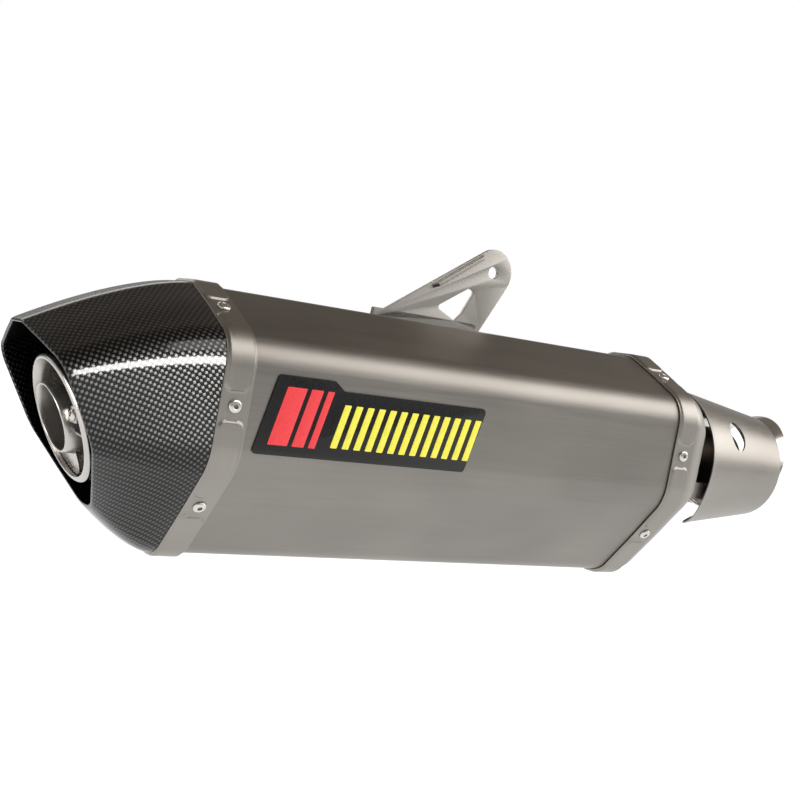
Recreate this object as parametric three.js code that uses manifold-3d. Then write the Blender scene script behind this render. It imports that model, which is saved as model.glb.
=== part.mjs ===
// Racing exhaust silencer with a carbon end cap, a riveted titanium sleeve and an open inlet shroud.
// Millimetres, +Z up. +X runs along the silencer towards the inlet and -X towards the outlet.
// The origin lies in the middle of the sleeve, level with the middle of its section's height.
import * as THREE from 'three';
import { mergeVertices } from 'three/addons/utils/BufferGeometryUtils.js';
import Module from 'manifold-3d';

const wasm = await Module();
wasm.setup();

// ---------- driving dimensions ----------

// Sleeve section: corners of one half, from the top flat to the bottom flat, with their rounding.
const SECTION = [
  { y: 11.6, z: 80, r: 12 },
  { y: 68.7, z: 51, r: 23 },
  { y: 64.5, z: -18, r: 32 },
  { y: 11, z: -80, r: 20 },
];
const CORNER_STEPS = 5;

const SLEEVE_HALF = 180;        // half the length between the outer edges of the two bands
const BAND_WIDTH = 19;
const GAP = 0.3;                // clearance between pieces that touch
const SHEET = 1;                // titanium sheet of the sleeve and the bands
const CARBON = 2;
const CAP_SHEET = 1.2;
const RIVET_HEIGHTS = [67.5, 15, -45];
const RIVET_HEAD_R = 4.1;
const RIVET_SHANK_R = 2;
const RIVET_INSET = 9.5;        // from the outer edge of a band to its rivets

// Carbon end cap: the plane of its opening leans back at the top.
const RIM_SLOPE = -0.528;
const RIM_X = -249.5;
const RIM_SCALE = { y: 0.79, z: 0.64 };
const RIM_DROP = -5.4;
const CAP_EASE = 1.45;

// Front cap: its cone narrows from the front band to its open end, with a face plate set back inside.
const FRONT_CAP_END = 219;
const FRONT_CAP_SCALE = { y: 0.87, z: 0.8 };
const FRONT_CAP_EASE = 1.6;
const FACE_X = 212;

// Gas path, from the outlet to the inlet
const OUTLET = { r: 33.5, wall: 1.6, z: -7, x: -244, slope: -0.42, start: -150 };
const DAMPER = { r: 19, wall: 1.2, proud: 4.5, length: 86, plateX: -210, plateSheet: 1.5, clearance: 0.6 };
const CORE = { r: 30, wall: 1.2, from: -148, to: 157, rows: 6, perRow: 5, holeR: 5 };
const INLET = { r: 27.5, wall: 1.5, z: 9, from: 150, to: 300 };
const BULKHEAD = { rear: -160, front: 160, flange: 10, sheet: 1.5 };
const WOOL = 3;
const PACKING_HALF = 149;

// Fixing of the damper: its tab is screwed to a lug inside the outlet, a little above the outlet's axis.
const SCREW = { above: 5, y: -27, r: 2, length: 8, holeR: 2.3 };
const TAB = { inset: 6, sheet: 1.6, width: 9, outerY: -29.9 };
const LUG = { behind: 4.2, length: 6, height: 8, innerY: -24, outerY: -29.9 };

// Shroud round the inlet joint, with its access hole, its collar and the stays that hold it.
const SHROUD = { rearX: 238, rearR: 53.9, frontX: 332, frontR: 40.2, wall: 1.4, cutaway: 23 };
const SCALLOP = { depth: 62, angle: 26 };    // notch in the shroud's rear rim, this far round from its lowest point
const ACCESS_HOLE = { x: 274.6, angle: 30, along: 9, around: 12 };
const COLLAR = { r: 37.7, wall: 2, from: 296, to: 337.16, slope: 0.36, lift: 0.25 };
const STAY = { from: 214.3, to: 256, startR: 44, width: 14, sheet: 1.2, angles: [25, 155, 270] };

// Hanger bracket: a folded plate that stands up on the far upper facet of the sleeve. Corners are [x, z].
const HANGER = {
  y: 20,
  sheet: 3,
  foot: 76.3,
  footWidth: 18,
  fold: 5,
  rear: -31,
  front: 57,
  frontCorner: [79, 115],
  hole: { x: 64.9, z: 123.7, r: 4.35 },
  end: { r: 16.4, from: -0.55, to: 2.15 },
  window: [[50.5, 106.8], [46.4, 109.3], [21.5, 93.3], [36.5, 86.8], [42.5, 92.2]],
  flange: [[14, 107.6], [15.6, 105.3], [54.5, 132.6], [53, 135]],
};

// Badge plate on the near side facet: its outline as [x, z].
const BADGE = [[-155.5, -10.5], [-145.5, 36], [-108, 36], [-100.5, 30.6], [6.5, 30.6], [-3.5, -10.5]];
const BADGE_SHEET = 0.6;

// ---------- materials ----------

function metal(color, roughness, metalness = 1) {
  return new THREE.MeshStandardMaterial({ color, roughness, metalness });
}

const titanium = () => metal(0x9a9792, 0.36);
const brightSteel = () => metal(0xc9c6c1, 0.25);
const dullSteel = () => metal(0x8c8a86, 0.5);
const carbonFibre = () => metal(0x1b1b1d, 0.22, 0);
const steelWool = () => metal(0x77746f, 0.8);
const glassWool = () => metal(0xd8cfa8, 0.95, 0);
const badgePaint = () => metal(0x101010, 0.35, 0);

// ---------- solids and booleans ----------

// Positions only, with shared corners made one. Shapes of revolution need it before they are turned.
function welded(geometry) {
  geometry.deleteAttribute('normal');
  geometry.deleteAttribute('uv');
  return mergeVertices(geometry, 1e-4);
}

function toSolid(geometry) {
  const merged = welded(geometry.clone());
  return new wasm.Manifold(new wasm.Mesh({
    numProp: 3,
    vertProperties: new Float32Array(merged.attributes.position.array),
    triVerts: new Uint32Array(merged.index.array),
  }));
}

function toGeometry(solid) {
  const mesh = solid.getMesh();
  const geometry = new THREE.BufferGeometry();
  geometry.setAttribute('position', new THREE.BufferAttribute(new Float32Array(mesh.vertProperties), 3));
  geometry.setIndex(new THREE.BufferAttribute(new Uint32Array(mesh.triVerts), 1));
  return geometry;
}

function subtractAll(geometry, tools) {
  return toGeometry(tools.reduce((solid, tool) => solid.subtract(toSolid(tool)), toSolid(geometry)));
}

function joinAll(geometries) {
  return toGeometry(geometries.map(toSolid).reduce((whole, solid) => whole.add(solid)));
}

function warp(geometry, place) {
  const position = geometry.attributes.position;
  const point = new THREE.Vector3();
  for (let i = 0; i < position.count; i += 1) {
    point.fromBufferAttribute(position, i);
    place(point);
    position.setXYZ(i, point.x, point.y, point.z);
  }
  return geometry;
}

// ---------- the sleeve's section ----------

// Each corner of the closed polygon becomes an arc; every point keeps its outward normal.
function sectionPoints() {
  const half = SECTION.map(({ y, z, r }) => ({ p: new THREE.Vector2(y, z), r }));
  const mirrored = half.map(({ p, r }) => ({ p: new THREE.Vector2(-p.x, p.y), r })).reverse();
  const corners = [...half, ...mirrored];
  const points = [];
  corners.forEach(({ p, r }, i) => {
    const before = corners[(i + corners.length - 1) % corners.length].p.clone().sub(p).normalize();
    const after = corners[(i + 1) % corners.length].p.clone().sub(p).normalize();
    const halfAngle = Math.acos(before.dot(after)) / 2;
    const bisector = before.clone().add(after).normalize();
    const centre = p.clone().addScaledVector(bisector, r / Math.sin(halfAngle));
    const turn = Math.PI - 2 * halfAngle;
    const middle = Math.atan2(-bisector.y, -bisector.x);
    for (let k = 0; k <= CORNER_STEPS; k += 1) {
      const angle = middle + turn * (0.5 - k / CORNER_STEPS);
      const normal = new THREE.Vector2(Math.cos(angle), Math.sin(angle));
      points.push({ p: centre.clone().addScaledVector(normal, r), normal });
    }
  });
  return points;
}

const OUTLINE = sectionPoints();

// The outline, counter-clockwise, moved inwards by a depth (outwards where the depth is negative).
function outline(depth) {
  return OUTLINE.map(({ p, normal }) => p.clone().addScaledVector(normal, -depth)).reverse();
}

// The place and outward normal on the outline at a height, on the side with this sign of y.
function onOutline(side, height, depth = 0) {
  const points = OUTLINE.filter(({ p }) => p.x > 0);
  for (let i = 0; i + 1 < points.length; i += 1) {
    const [a, b] = [points[i], points[i + 1]];
    if (a.p.y >= height && b.p.y <= height) {
      const t = (a.p.y - height) / (a.p.y - b.p.y);
      const p = a.p.clone().lerp(b.p, t);
      const normal = a.normal.clone().lerp(b.normal, t).normalize();
      p.addScaledVector(normal, -depth);
      return {
        place: new THREE.Vector3(0, side * p.x, p.y),
        normal: new THREE.Vector3(0, side * normal.x, normal.y),
      };
    }
  }
  throw new Error(`no outline at height ${height}`);
}

// Turns an extrusion made in the section's plane so that it runs along +X from the given place.
function alongX(geometry, from) {
  return warp(geometry, (v) => v.set(from + v.z, v.x, v.y));
}

// A straight wall of the sleeve's section between two depths, from one x to another.
function sectionShell(outer, inner, from, to, steps = 1) {
  const shape = new THREE.Shape(outline(outer));
  if (inner !== null) {
    shape.holes.push(new THREE.Path(outline(inner)));
  }
  return alongX(new THREE.ExtrudeGeometry(shape, { depth: to - from, steps, bevelEnabled: false }), from);
}

// A plain round tube along X about the height z, which climbs by rise over its length.
function roundTube({ r, inner, z, from, to, segments = 40, rise = 0, steps = 1 }) {
  const stations = Array.from({ length: steps + 1 }, (_, i) => (to - from) * i / steps);
  const profile = [...stations.map((x) => [inner, x]), ...stations.reverse().map((x) => [r, x]), [inner, 0]];
  const lathe = turned(profile, segments);
  return warp(lathe, (v) => v.set(from + v.y, v.x, z + v.z + rise * v.y / (to - from)));
}

function cylinder(r, length, segments = 20) {
  return welded(new THREE.CylinderGeometry(r, r, length, segments));
}

// A shape of revolution about its own Y axis from [radius, height] pairs.
function turned(profile, segments) {
  return welded(new THREE.LatheGeometry(profile.map(([x, y]) => new THREE.Vector2(x, y)), segments));
}

// Turns a shape made about its own Y axis so that the axis points along a direction.
function aimed(geometry, place, direction) {
  const turn = new THREE.Quaternion().setFromUnitVectors(new THREE.Vector3(0, 1, 0), direction);
  return geometry.applyQuaternion(turn).translate(place.x, place.y, place.z);
}

// ---------- rivets ----------

const RIVETS = [-1, 1].flatMap((side) => RIVET_HEIGHTS.map((height) => ({ side, height })));

function rivetHoles(x) {
  return RIVETS.map(({ side, height }) => {
    const { place, normal } = onOutline(side, height);
    return aimed(cylinder(RIVET_SHANK_R + GAP, 16, 8), place.setX(x), normal);
  });
}

// Domed blind rivet about the Y axis, its head's underside at y = 0, with the hole its mandrel leaves.
function rivetGeometry() {
  return turned([
    [0, -5.6], [RIVET_SHANK_R, -5.6], [RIVET_SHANK_R, 0], [RIVET_HEAD_R, 0], [RIVET_HEAD_R, 0.5],
    [2.4, 1.8], [1.3, 1.9], [1.3, 0.4], [0, 0.4],
  ], 10);
}

// ---------- casing ----------

const BAND_OUT = -(GAP + SHEET);
const UNDER_SLEEVE = SHEET + GAP;
const REAR_RIVET_X = -SLEEVE_HALF + RIVET_INSET;
const FRONT_RIVET_X = SLEEVE_HALF + RIVET_INSET;
const SLEEVE_FRONT = SLEEVE_HALF + BAND_WIDTH;

function outerSleeve() {
  const shell = sectionShell(0, SHEET, -SLEEVE_HALF, SLEEVE_FRONT);
  return subtractAll(shell, [...rivetHoles(REAR_RIVET_X), ...rivetHoles(FRONT_RIVET_X)]);
}

function band(from, rivetX) {
  return subtractAll(sectionShell(BAND_OUT, -GAP, from, from + BAND_WIDTH), rivetHoles(rivetX));
}

// The loft of the end cap: t runs from 0 at the band to 1 at the slanted opening.
function capWarp(v, t) {
  const ease = t ** CAP_EASE;
  const y = v.y * (1 + (RIM_SCALE.y - 1) * ease);
  const z = v.z * (1 + (RIM_SCALE.z - 1) * ease) + RIM_DROP * ease;
  const rimX = RIM_X + RIM_SLOPE * (v.z * RIM_SCALE.z + RIM_DROP);
  const baseX = -SLEEVE_HALF - GAP;
  v.set(baseX + (rimX - baseX) * t, y, z);
}

function carbonEndCap() {
  const inside = UNDER_SLEEVE + CARBON;
  const wall = sectionShell(BAND_OUT + GAP, inside, 0, 1, 6);
  const loft = warp(wall, (v) => capWarp(v, 1 - v.x));
  const skirt = sectionShell(UNDER_SLEEVE, inside, -SLEEVE_HALF - 1, -SLEEVE_HALF + BAND_WIDTH);
  return subtractAll(joinAll([loft, skirt]), rivetHoles(REAR_RIVET_X));
}

function frontCapScale(x) {
  const ease = Math.max(0, (x - SLEEVE_FRONT - GAP) / (FRONT_CAP_END - SLEEVE_FRONT - GAP)) ** FRONT_CAP_EASE;
  return { y: 1 + (FRONT_CAP_SCALE.y - 1) * ease, z: 1 + (FRONT_CAP_SCALE.z - 1) * ease };
}

function frontCap() {
  const inside = UNDER_SLEEVE + CAP_SHEET;
  const skirt = sectionShell(UNDER_SLEEVE, inside, SLEEVE_HALF + 1, SLEEVE_FRONT + 1);
  const cone = warp(sectionShell(-GAP, inside, SLEEVE_FRONT + GAP, FRONT_CAP_END, 4), (v) => {
    const scale = frontCapScale(v.x);
    v.y *= scale.y;
    v.z *= scale.z;
  });
  const scale = frontCapScale(FACE_X + 1);
  const edge = outline(UNDER_SLEEVE).map((p) => new THREE.Vector2(p.x * scale.y, p.y * scale.z));
  const face = plateAcross(edge, FACE_X, 2, INLET.r + GAP, INLET.z);
  return subtractAll(joinAll([skirt, cone, face]), rivetHoles(FRONT_RIVET_X));
}

// A flat plate across the silencer with a round hole for a pipe.
function plateAcross(edge, x, thickness, holeR, holeZ) {
  const shape = new THREE.Shape(edge);
  const segments = 40;
  const points = Array.from({ length: segments }, (_, i) => {
    const angle = 2 * Math.PI * i / segments;
    return new THREE.Vector2(holeR * Math.cos(angle), holeZ + holeR * Math.sin(angle));
  });
  shape.holes.push(new THREE.Path(points));
  return alongX(new THREE.ExtrudeGeometry(shape, { depth: thickness, bevelEnabled: false }), x);
}

// A pressed plate with a flange along the sleeve's wall, welded round its pipe.
function bulkhead(flangeFrom, plateX, holeR, holeZ) {
  const { flange, sheet } = BULKHEAD;
  const ring = sectionShell(UNDER_SLEEVE, UNDER_SLEEVE + sheet, flangeFrom, flangeFrom + flange);
  return joinAll([ring, plateAcross(outline(UNDER_SLEEVE), plateX, sheet, holeR, holeZ)]);
}

// ---------- gas path ----------

// A slanted end for a tube at the outlet: the end face leans back at the top as the cap's opening does.
function slantOutlet(geometry, start, end) {
  return warp(geometry, (v) => {
    const t = (start - v.x) / (start - end);
    v.x += t * OUTLET.slope * (v.z - OUTLET.z);
  });
}

// The outlet ends in a thick rounded lip that stands proud outside only, so that the damper slides out.
function outletTube() {
  const { r, wall, z, x, start } = OUTLET;
  const length = start - x;
  const bore = r - wall;
  const tube = turned([
    [bore, 0], [r, 0], [r, length - 4], [r + 1.2, length - 2.8], [r + 1.2, length - 1], [r + 0.3, length],
    [bore + 0.5, length], [bore, length - 0.6], [bore, 0],
  ], 36);
  warp(tube, (v) => v.set(start - v.y, v.x, z + v.z));
  return slantOutlet(tube, start, x);
}

const DAMPER_END = OUTLET.x - DAMPER.proud;

function damperTube() {
  const { r, wall, length } = DAMPER;
  const to = DAMPER_END + length;
  const tube = roundTube({ r, inner: r - wall, z: OUTLET.z, from: DAMPER_END, to, segments: 36 });
  return slantOutlet(tube, to, DAMPER_END);
}

// The ring plate that closes the space round the damper, notched so that it clears the lug on its way out.
function damperPlate() {
  const { r, plateX, plateSheet, clearance } = DAMPER;
  const outer = OUTLET.r - OUTLET.wall - clearance;
  const ring = roundTube({ r: outer, inner: r + GAP, z: OUTLET.z, from: plateX, to: plateX + plateSheet });
  const notch = new THREE.BoxGeometry(10, 16, LUG.height + 6).translate(plateX, -outer, SCREW_Z);
  return subtractAll(ring, [notch]);
}

const SCREW_Z = OUTLET.z + SCREW.above;
const TAB_X = DAMPER_END + OUTLET.slope * SCREW.above + TAB.inset;
const ALONG = new THREE.Vector3(1, 0, 0);

// A small block with the screw's hole through it, between an inner and an outer y.
function drilledBlock(x, length, innerY, outerY, height) {
  const block = new THREE.BoxGeometry(length, innerY - outerY, height);
  block.translate(x, (innerY + outerY) / 2, SCREW_Z);
  const hole = aimed(cylinder(SCREW.holeR, 10, 12), new THREE.Vector3(x, SCREW.y, SCREW_Z), ALONG);
  return subtractAll(block, [hole]);
}

// The tab on the damper tube that takes the screw.
function damperTab() {
  return drilledBlock(TAB_X, TAB.sheet, -(DAMPER.r + GAP), TAB.outerY, TAB.width);
}

// The lug welded inside the outlet, just behind the tab.
function outletLug() {
  return drilledBlock(TAB_X + LUG.behind, LUG.length, LUG.innerY, LUG.outerY, LUG.height);
}

// Button-head screw along +X; its head bears on the tab.
function damperScrew() {
  const { r, length, y } = SCREW;
  const screw = turned([[0, -2.4], [2.6, -2.2], [3.3, -1.1], [3.3, 0], [r, 0], [r, length], [0, length]], 16);
  return aimed(screw, new THREE.Vector3(TAB_X - TAB.sheet / 2 - GAP, y, SCREW_Z), ALONG);
}

// The axis of the core tube climbs from the outlet's height to the inlet's.
function coreAxisZ(x) {
  return OUTLET.z + (INLET.z - OUTLET.z) * (x - CORE.from) / (CORE.to - CORE.from);
}

function coreAlignedTube(r, inner, from, to) {
  const rise = coreAxisZ(to) - coreAxisZ(from);
  return roundTube({ r, inner, z: coreAxisZ(from), from, to, segments: 24, rise });
}

function coreTube() {
  const { r, wall, from, to, rows, perRow, holeR } = CORE;
  const holes = [];
  for (let row = 1; row <= rows; row += 1) {
    const x = from + (to - from) * row / (rows + 1);
    for (let k = 0; k < perRow; k += 1) {
      const angle = 2 * Math.PI * (k + (row % 2) / 2) / perRow;
      const out = new THREE.Vector3(0, Math.cos(angle), Math.sin(angle));
      const place = out.clone().multiplyScalar(r).add(new THREE.Vector3(x, 0, coreAxisZ(x)));
      holes.push(aimed(cylinder(holeR, 8, 6), place, out));
    }
  }
  return subtractAll(coreAlignedTube(r, r - wall, from, to), holes);
}

function packing() {
  const block = sectionShell(SHEET + 2 * GAP, null, -PACKING_HALF, PACKING_HALF);
  const slope = coreAxisZ(1) - coreAxisZ(0);
  const direction = new THREE.Vector3(1, 0, slope).normalize();
  const boreR = CORE.r + WOOL + 3 * GAP;
  const bore = aimed(cylinder(boreR, 400, 24), new THREE.Vector3(0, 0, coreAxisZ(0)), direction);
  return subtractAll(block, [bore]);
}

// ---------- inlet ----------

function shroudRadius(x) {
  return SHROUD.rearR + (SHROUD.frontR - SHROUD.rearR) * (x - SHROUD.rearX) / (SHROUD.frontX - SHROUD.rearX);
}

function inletShroud() {
  const { rearX, rearR, frontX, frontR, wall, cutaway } = SHROUD;
  const length = frontX - rearX;
  const shell = turned([
    [rearR - wall, 0], [frontR - wall, length], [frontR, length], [rearR, 0], [rearR - wall, 0],
  ], 48);
  warp(shell, (v) => {
    const round = Math.atan2(v.x, -v.z);
    const low = Math.max(0, Math.cos(round));
    const inScallop = Math.max(0, Math.cos(round - THREE.MathUtils.degToRad(SCALLOP.angle)));
    const rearAt = rearX + cutaway * low ** 3 + SCALLOP.depth * inScallop ** 12;
    const x = rearAt + (frontX - rearAt) * v.y / length;
    const scale = shroudRadius(x) / shroudRadius(rearX + v.y);
    v.set(x, v.x * scale, INLET.z + v.z * scale);
  });
  const { x, angle, along, around } = ACCESS_HOLE;
  const turn = THREE.MathUtils.degToRad(angle);
  const out = new THREE.Vector3(0, -Math.cos(turn), Math.sin(turn));
  const place = out.clone().multiplyScalar(shroudRadius(x)).add(new THREE.Vector3(x, 0, INLET.z));
  const taper = (rearR - frontR) / length;
  const hole = cylinder(1, 16, 24).scale(along, 1, around);
  return subtractAll(shell, [aimed(hole, place, out.add(new THREE.Vector3(taper, 0, 0)).normalize())]);
}

// The collar's free end leans so that its top stands out of the shroud, bending slightly upwards.
function inletCollar() {
  const { r, wall, from, to, slope, lift } = COLLAR;
  return warp(roundTube({ r, inner: r - wall, z: INLET.z, from, to, steps: 5 }), (v) => {
    v.x += slope * (v.z - INLET.z) * (v.x - from) / (to - from);
    v.z += lift * Math.max(0, v.x - SHROUD.frontX - 2);
  });
}

// A strip about the inlet's axis that flares out from the front cap's face to the shroud's wall.
function stay() {
  const { from, to, startR, width, sheet } = STAY;
  const strip = new THREE.BoxGeometry(to - from, sheet, width, 3).translate((from + to) / 2, 0, 0);
  const outerAtEnd = shroudRadius(to) - SHROUD.wall - GAP - sheet;
  return warp(strip, (v) => {
    const t = (v.x - from) / (to - from);
    v.y -= startR + (outerAtEnd - startR) * t - v.z * v.z * t / (2 * outerAtEnd);
  });
}

// ---------- hanger and badge ----------

function planePoints(corners) {
  return corners.map(([a, b]) => new THREE.Vector2(a, b));
}

function hangerBracket() {
  const { y, sheet, foot, footWidth, fold, rear, front, hole, end } = HANGER;
  const shape = new THREE.Shape();
  shape.moveTo(rear, foot);
  shape.lineTo(front, foot);
  shape.lineTo(...HANGER.frontCorner);
  shape.absarc(hole.x, hole.z, end.r, end.from, end.to, false);
  shape.lineTo(rear, foot + sheet + 1);
  const bolt = new THREE.Path();
  bolt.absarc(hole.x, hole.z, hole.r, 0, 2 * Math.PI, true);
  shape.holes.push(bolt, new THREE.Path(planePoints(HANGER.window)));
  const settings = { curveSegments: 10, bevelEnabled: false };
  const plate = new THREE.ExtrudeGeometry(shape, { ...settings, depth: sheet });
  warp(plate, (v) => v.set(v.x, y + sheet - v.z, v.y));

  // The stiffening flange turned towards the near side along the sloping edge.
  const edge = new THREE.Shape(planePoints(HANGER.flange));
  const flange = new THREE.ExtrudeGeometry(edge, { ...settings, depth: fold + 1 });
  warp(flange, (v) => v.set(v.x, y + 1 - v.z, v.y));

  // The foot lies along the facet, away from the near side.
  const facetSlope = (SECTION[0].z - SECTION[1].z) / (SECTION[1].y - SECTION[0].y);
  const drop = footWidth * facetSlope;
  const profile = new THREE.Shape(planePoints([
    [y, foot], [y + footWidth, foot - drop], [y + footWidth, foot - drop + sheet], [y, foot + sheet],
  ]));
  const footPlate = alongX(new THREE.ExtrudeGeometry(profile, { ...settings, depth: front - rear }), rear);
  return joinAll([plate, flange, footPlate]);
}

function badgePlate() {
  const shape = new THREE.Shape(planePoints(BADGE));
  const plate = new THREE.ExtrudeGeometry(shape, { depth: BADGE_SHEET, bevelEnabled: false });
  const { place: high } = onOutline(-1, 35);
  const { place: low } = onOutline(-1, -6);
  const lean = (high.y - low.y) / (high.z - low.z);
  return warp(plate, (v) => v.set(v.x, low.y + lean * (v.y - low.z) - GAP - v.z, v.y));
}

// ---------- assembly ----------

const silencer = new THREE.Group();

function add(name, geometry, material) {
  const mesh = new THREE.Mesh(geometry, material);
  mesh.name = name;
  silencer.add(mesh);
  return mesh;
}

add('outer_sleeve', outerSleeve(), titanium());
add('rear_band', band(-SLEEVE_HALF, REAR_RIVET_X), titanium());
add('front_band', band(SLEEVE_HALF, FRONT_RIVET_X), titanium());
add('carbon_end_cap', carbonEndCap(), carbonFibre());
add('front_cap', frontCap(), titanium());
add('rear_bulkhead', bulkhead(BULKHEAD.rear, BULKHEAD.rear, OUTLET.r + GAP, OUTLET.z), dullSteel());
add('front_bulkhead', bulkhead(
  BULKHEAD.front - BULKHEAD.flange,
  BULKHEAD.front - BULKHEAD.sheet,
  INLET.r + GAP,
  INLET.z,
), dullSteel());

add('outlet_tube', outletTube(), brightSteel());
add('outlet_lug', outletLug(), brightSteel());
add('damper_tube', damperTube(), brightSteel());
add('damper_plate', damperPlate(), brightSteel());
add('damper_tab', damperTab(), brightSteel());
add('damper_screw', damperScrew(), dullSteel());
add('core_tube', coreTube(), dullSteel());
add('steel_wool_wrap', coreAlignedTube(
  CORE.r + GAP + WOOL,
  CORE.r + GAP,
  CORE.from + 2,
  PACKING_HALF,
), steelWool());
add('glass_wool_packing', packing(), glassWool());
add('inlet_pipe', roundTube({ ...INLET, inner: INLET.r - INLET.wall }), brightSteel());

add('inlet_shroud', inletShroud(), titanium());
add('inlet_collar', inletCollar(), brightSteel());
STAY.angles.forEach((angle, i) => {
  const mesh = add(`shroud_stay_${i + 1}`, stay(), titanium());
  mesh.position.z = INLET.z;
  mesh.rotation.x = THREE.MathUtils.degToRad(angle);
});

add('hanger_bracket', hangerBracket(), brightSteel());
add('badge_plate', badgePlate(), badgePaint());

// Each rivet's head rests on its band.
[['rear', REAR_RIVET_X], ['front', FRONT_RIVET_X]].forEach(([end, x]) => {
  RIVETS.forEach(({ side, height }, i) => {
    const { place, normal } = onOutline(side, height, BAND_OUT - 0.1);
    const mesh = add(`${end}_rivet_${i + 1}`, rivetGeometry(), brightSteel());
    mesh.position.copy(place.setX(x));
    mesh.quaternion.setFromUnitVectors(new THREE.Vector3(0, 1, 0), normal);
  });
});

// The finished part's origin is the middle of its bounding box.
const centre = new THREE.Box3().setFromObject(silencer, true).getCenter(new THREE.Vector3());
silencer.position.sub(centre);
const group = new THREE.Group();
group.add(silencer);

export default group;
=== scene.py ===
"""Racing exhaust silencer: the visible pieces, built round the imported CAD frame.

Lengths in the shape functions are millimetres in the silencer's own axes: +X runs to the inlet, -Y is the side
with the badge, +Z is up, and the origin lies in the middle of the sleeve. skin() turns them into metres.
"""

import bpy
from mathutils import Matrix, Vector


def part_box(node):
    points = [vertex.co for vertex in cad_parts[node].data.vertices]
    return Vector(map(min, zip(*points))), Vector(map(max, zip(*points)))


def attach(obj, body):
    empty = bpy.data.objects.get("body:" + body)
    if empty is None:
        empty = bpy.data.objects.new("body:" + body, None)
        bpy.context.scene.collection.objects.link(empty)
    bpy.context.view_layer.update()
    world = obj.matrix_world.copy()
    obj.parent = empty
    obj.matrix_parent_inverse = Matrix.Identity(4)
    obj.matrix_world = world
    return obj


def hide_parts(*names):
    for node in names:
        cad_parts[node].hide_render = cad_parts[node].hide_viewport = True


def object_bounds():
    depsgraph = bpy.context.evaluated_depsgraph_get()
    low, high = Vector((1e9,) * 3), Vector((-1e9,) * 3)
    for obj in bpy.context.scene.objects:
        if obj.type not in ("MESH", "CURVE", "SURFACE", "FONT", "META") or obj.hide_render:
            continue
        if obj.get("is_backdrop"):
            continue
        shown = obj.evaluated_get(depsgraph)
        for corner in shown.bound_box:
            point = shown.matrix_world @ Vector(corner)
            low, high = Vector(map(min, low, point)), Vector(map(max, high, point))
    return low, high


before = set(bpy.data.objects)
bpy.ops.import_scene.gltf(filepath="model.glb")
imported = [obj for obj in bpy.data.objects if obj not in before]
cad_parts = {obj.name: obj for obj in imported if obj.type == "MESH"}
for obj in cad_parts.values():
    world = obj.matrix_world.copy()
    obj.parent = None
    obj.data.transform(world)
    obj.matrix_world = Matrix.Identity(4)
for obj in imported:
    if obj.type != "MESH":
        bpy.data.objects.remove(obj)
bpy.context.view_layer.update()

import math
from collections import namedtuple

import bmesh
import bpy
import numpy as np
from bpy.props import FloatProperty, FloatVectorProperty, PointerProperty
from bpy.types import Operator, Panel, PropertyGroup
from mathutils import Matrix, Vector

bl_info = {
    "name": "Racing exhaust silencer",
    "version": (1, 0, 0),
    "blender": (4, 5, 0),
    "location": "3D View > Sidebar > Silencer",
    "description": "Builds the visible pieces of a racing exhaust silencer round its packed frame",
    "category": "Object",
}

MM = 0.001

# ---------- sizes shared by several pieces, in mm ----------

SLEEVE_HALF = 180.0
BAND_WIDTH = 19.0
SLEEVE_FRONT = SLEEVE_HALF + BAND_WIDTH
GAP = 0.3
SHEET = 1.0
BAND_OUT = -(GAP + SHEET)
UNDER_SLEEVE = SHEET + GAP
RIVET_INSET = 9.5
RIVET_HEIGHTS = (67.5, 15.0, -45.0)

OUTLET_Z = -7.0
OUTLET_X = -244.0
OUTLET_SLOPE = -0.42
OUTLET_START = -150.0
DAMPER_R = 19.0
DAMPER_X = -248.5
DAMPER_END = DAMPER_X + 86.0
DAMPER_PLATE_X = -210.0
SCREW_Y, SCREW_Z = -27.0, OUTLET_Z + 5.0
SCREW_HOLE_R = 2.3
BLOCK_OUT = -29.9           # where the screw's lug and tab end, next to the outlet's bore
TAB_X = DAMPER_X + OUTLET_SLOPE * 5.0 + 6.0
INLET_Z = 9.0
FRONT_CAP_END = 219.0
SHROUD_REAR, SHROUD_REAR_R = 238.0, 53.9
SHROUD_FRONT, SHROUD_FRONT_R = 332.0, 40.2

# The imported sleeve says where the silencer's own origin lies in the frame.
SLEEVE_LOW, SLEEVE_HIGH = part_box("outer_sleeve")
ORIGIN = np.array([SLEEVE_LOW[0] + SLEEVE_HALF * MM, 0.0, (SLEEVE_LOW[2] + SLEEVE_HIGH[2]) / 2])


# ---------- curves and surfaces ----------

def unit(vectors):
    """Each vector divided by its length."""
    return vectors / np.linalg.norm(vectors, axis=-1, keepdims=True)


def smooth_step(t):
    """0 below t = 0, 1 above t = 1, and 3 t^2 - 2 t^3 between."""
    t = np.clip(t, 0.0, 1.0)
    return t * t * (3.0 - 2.0 * t)


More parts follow.
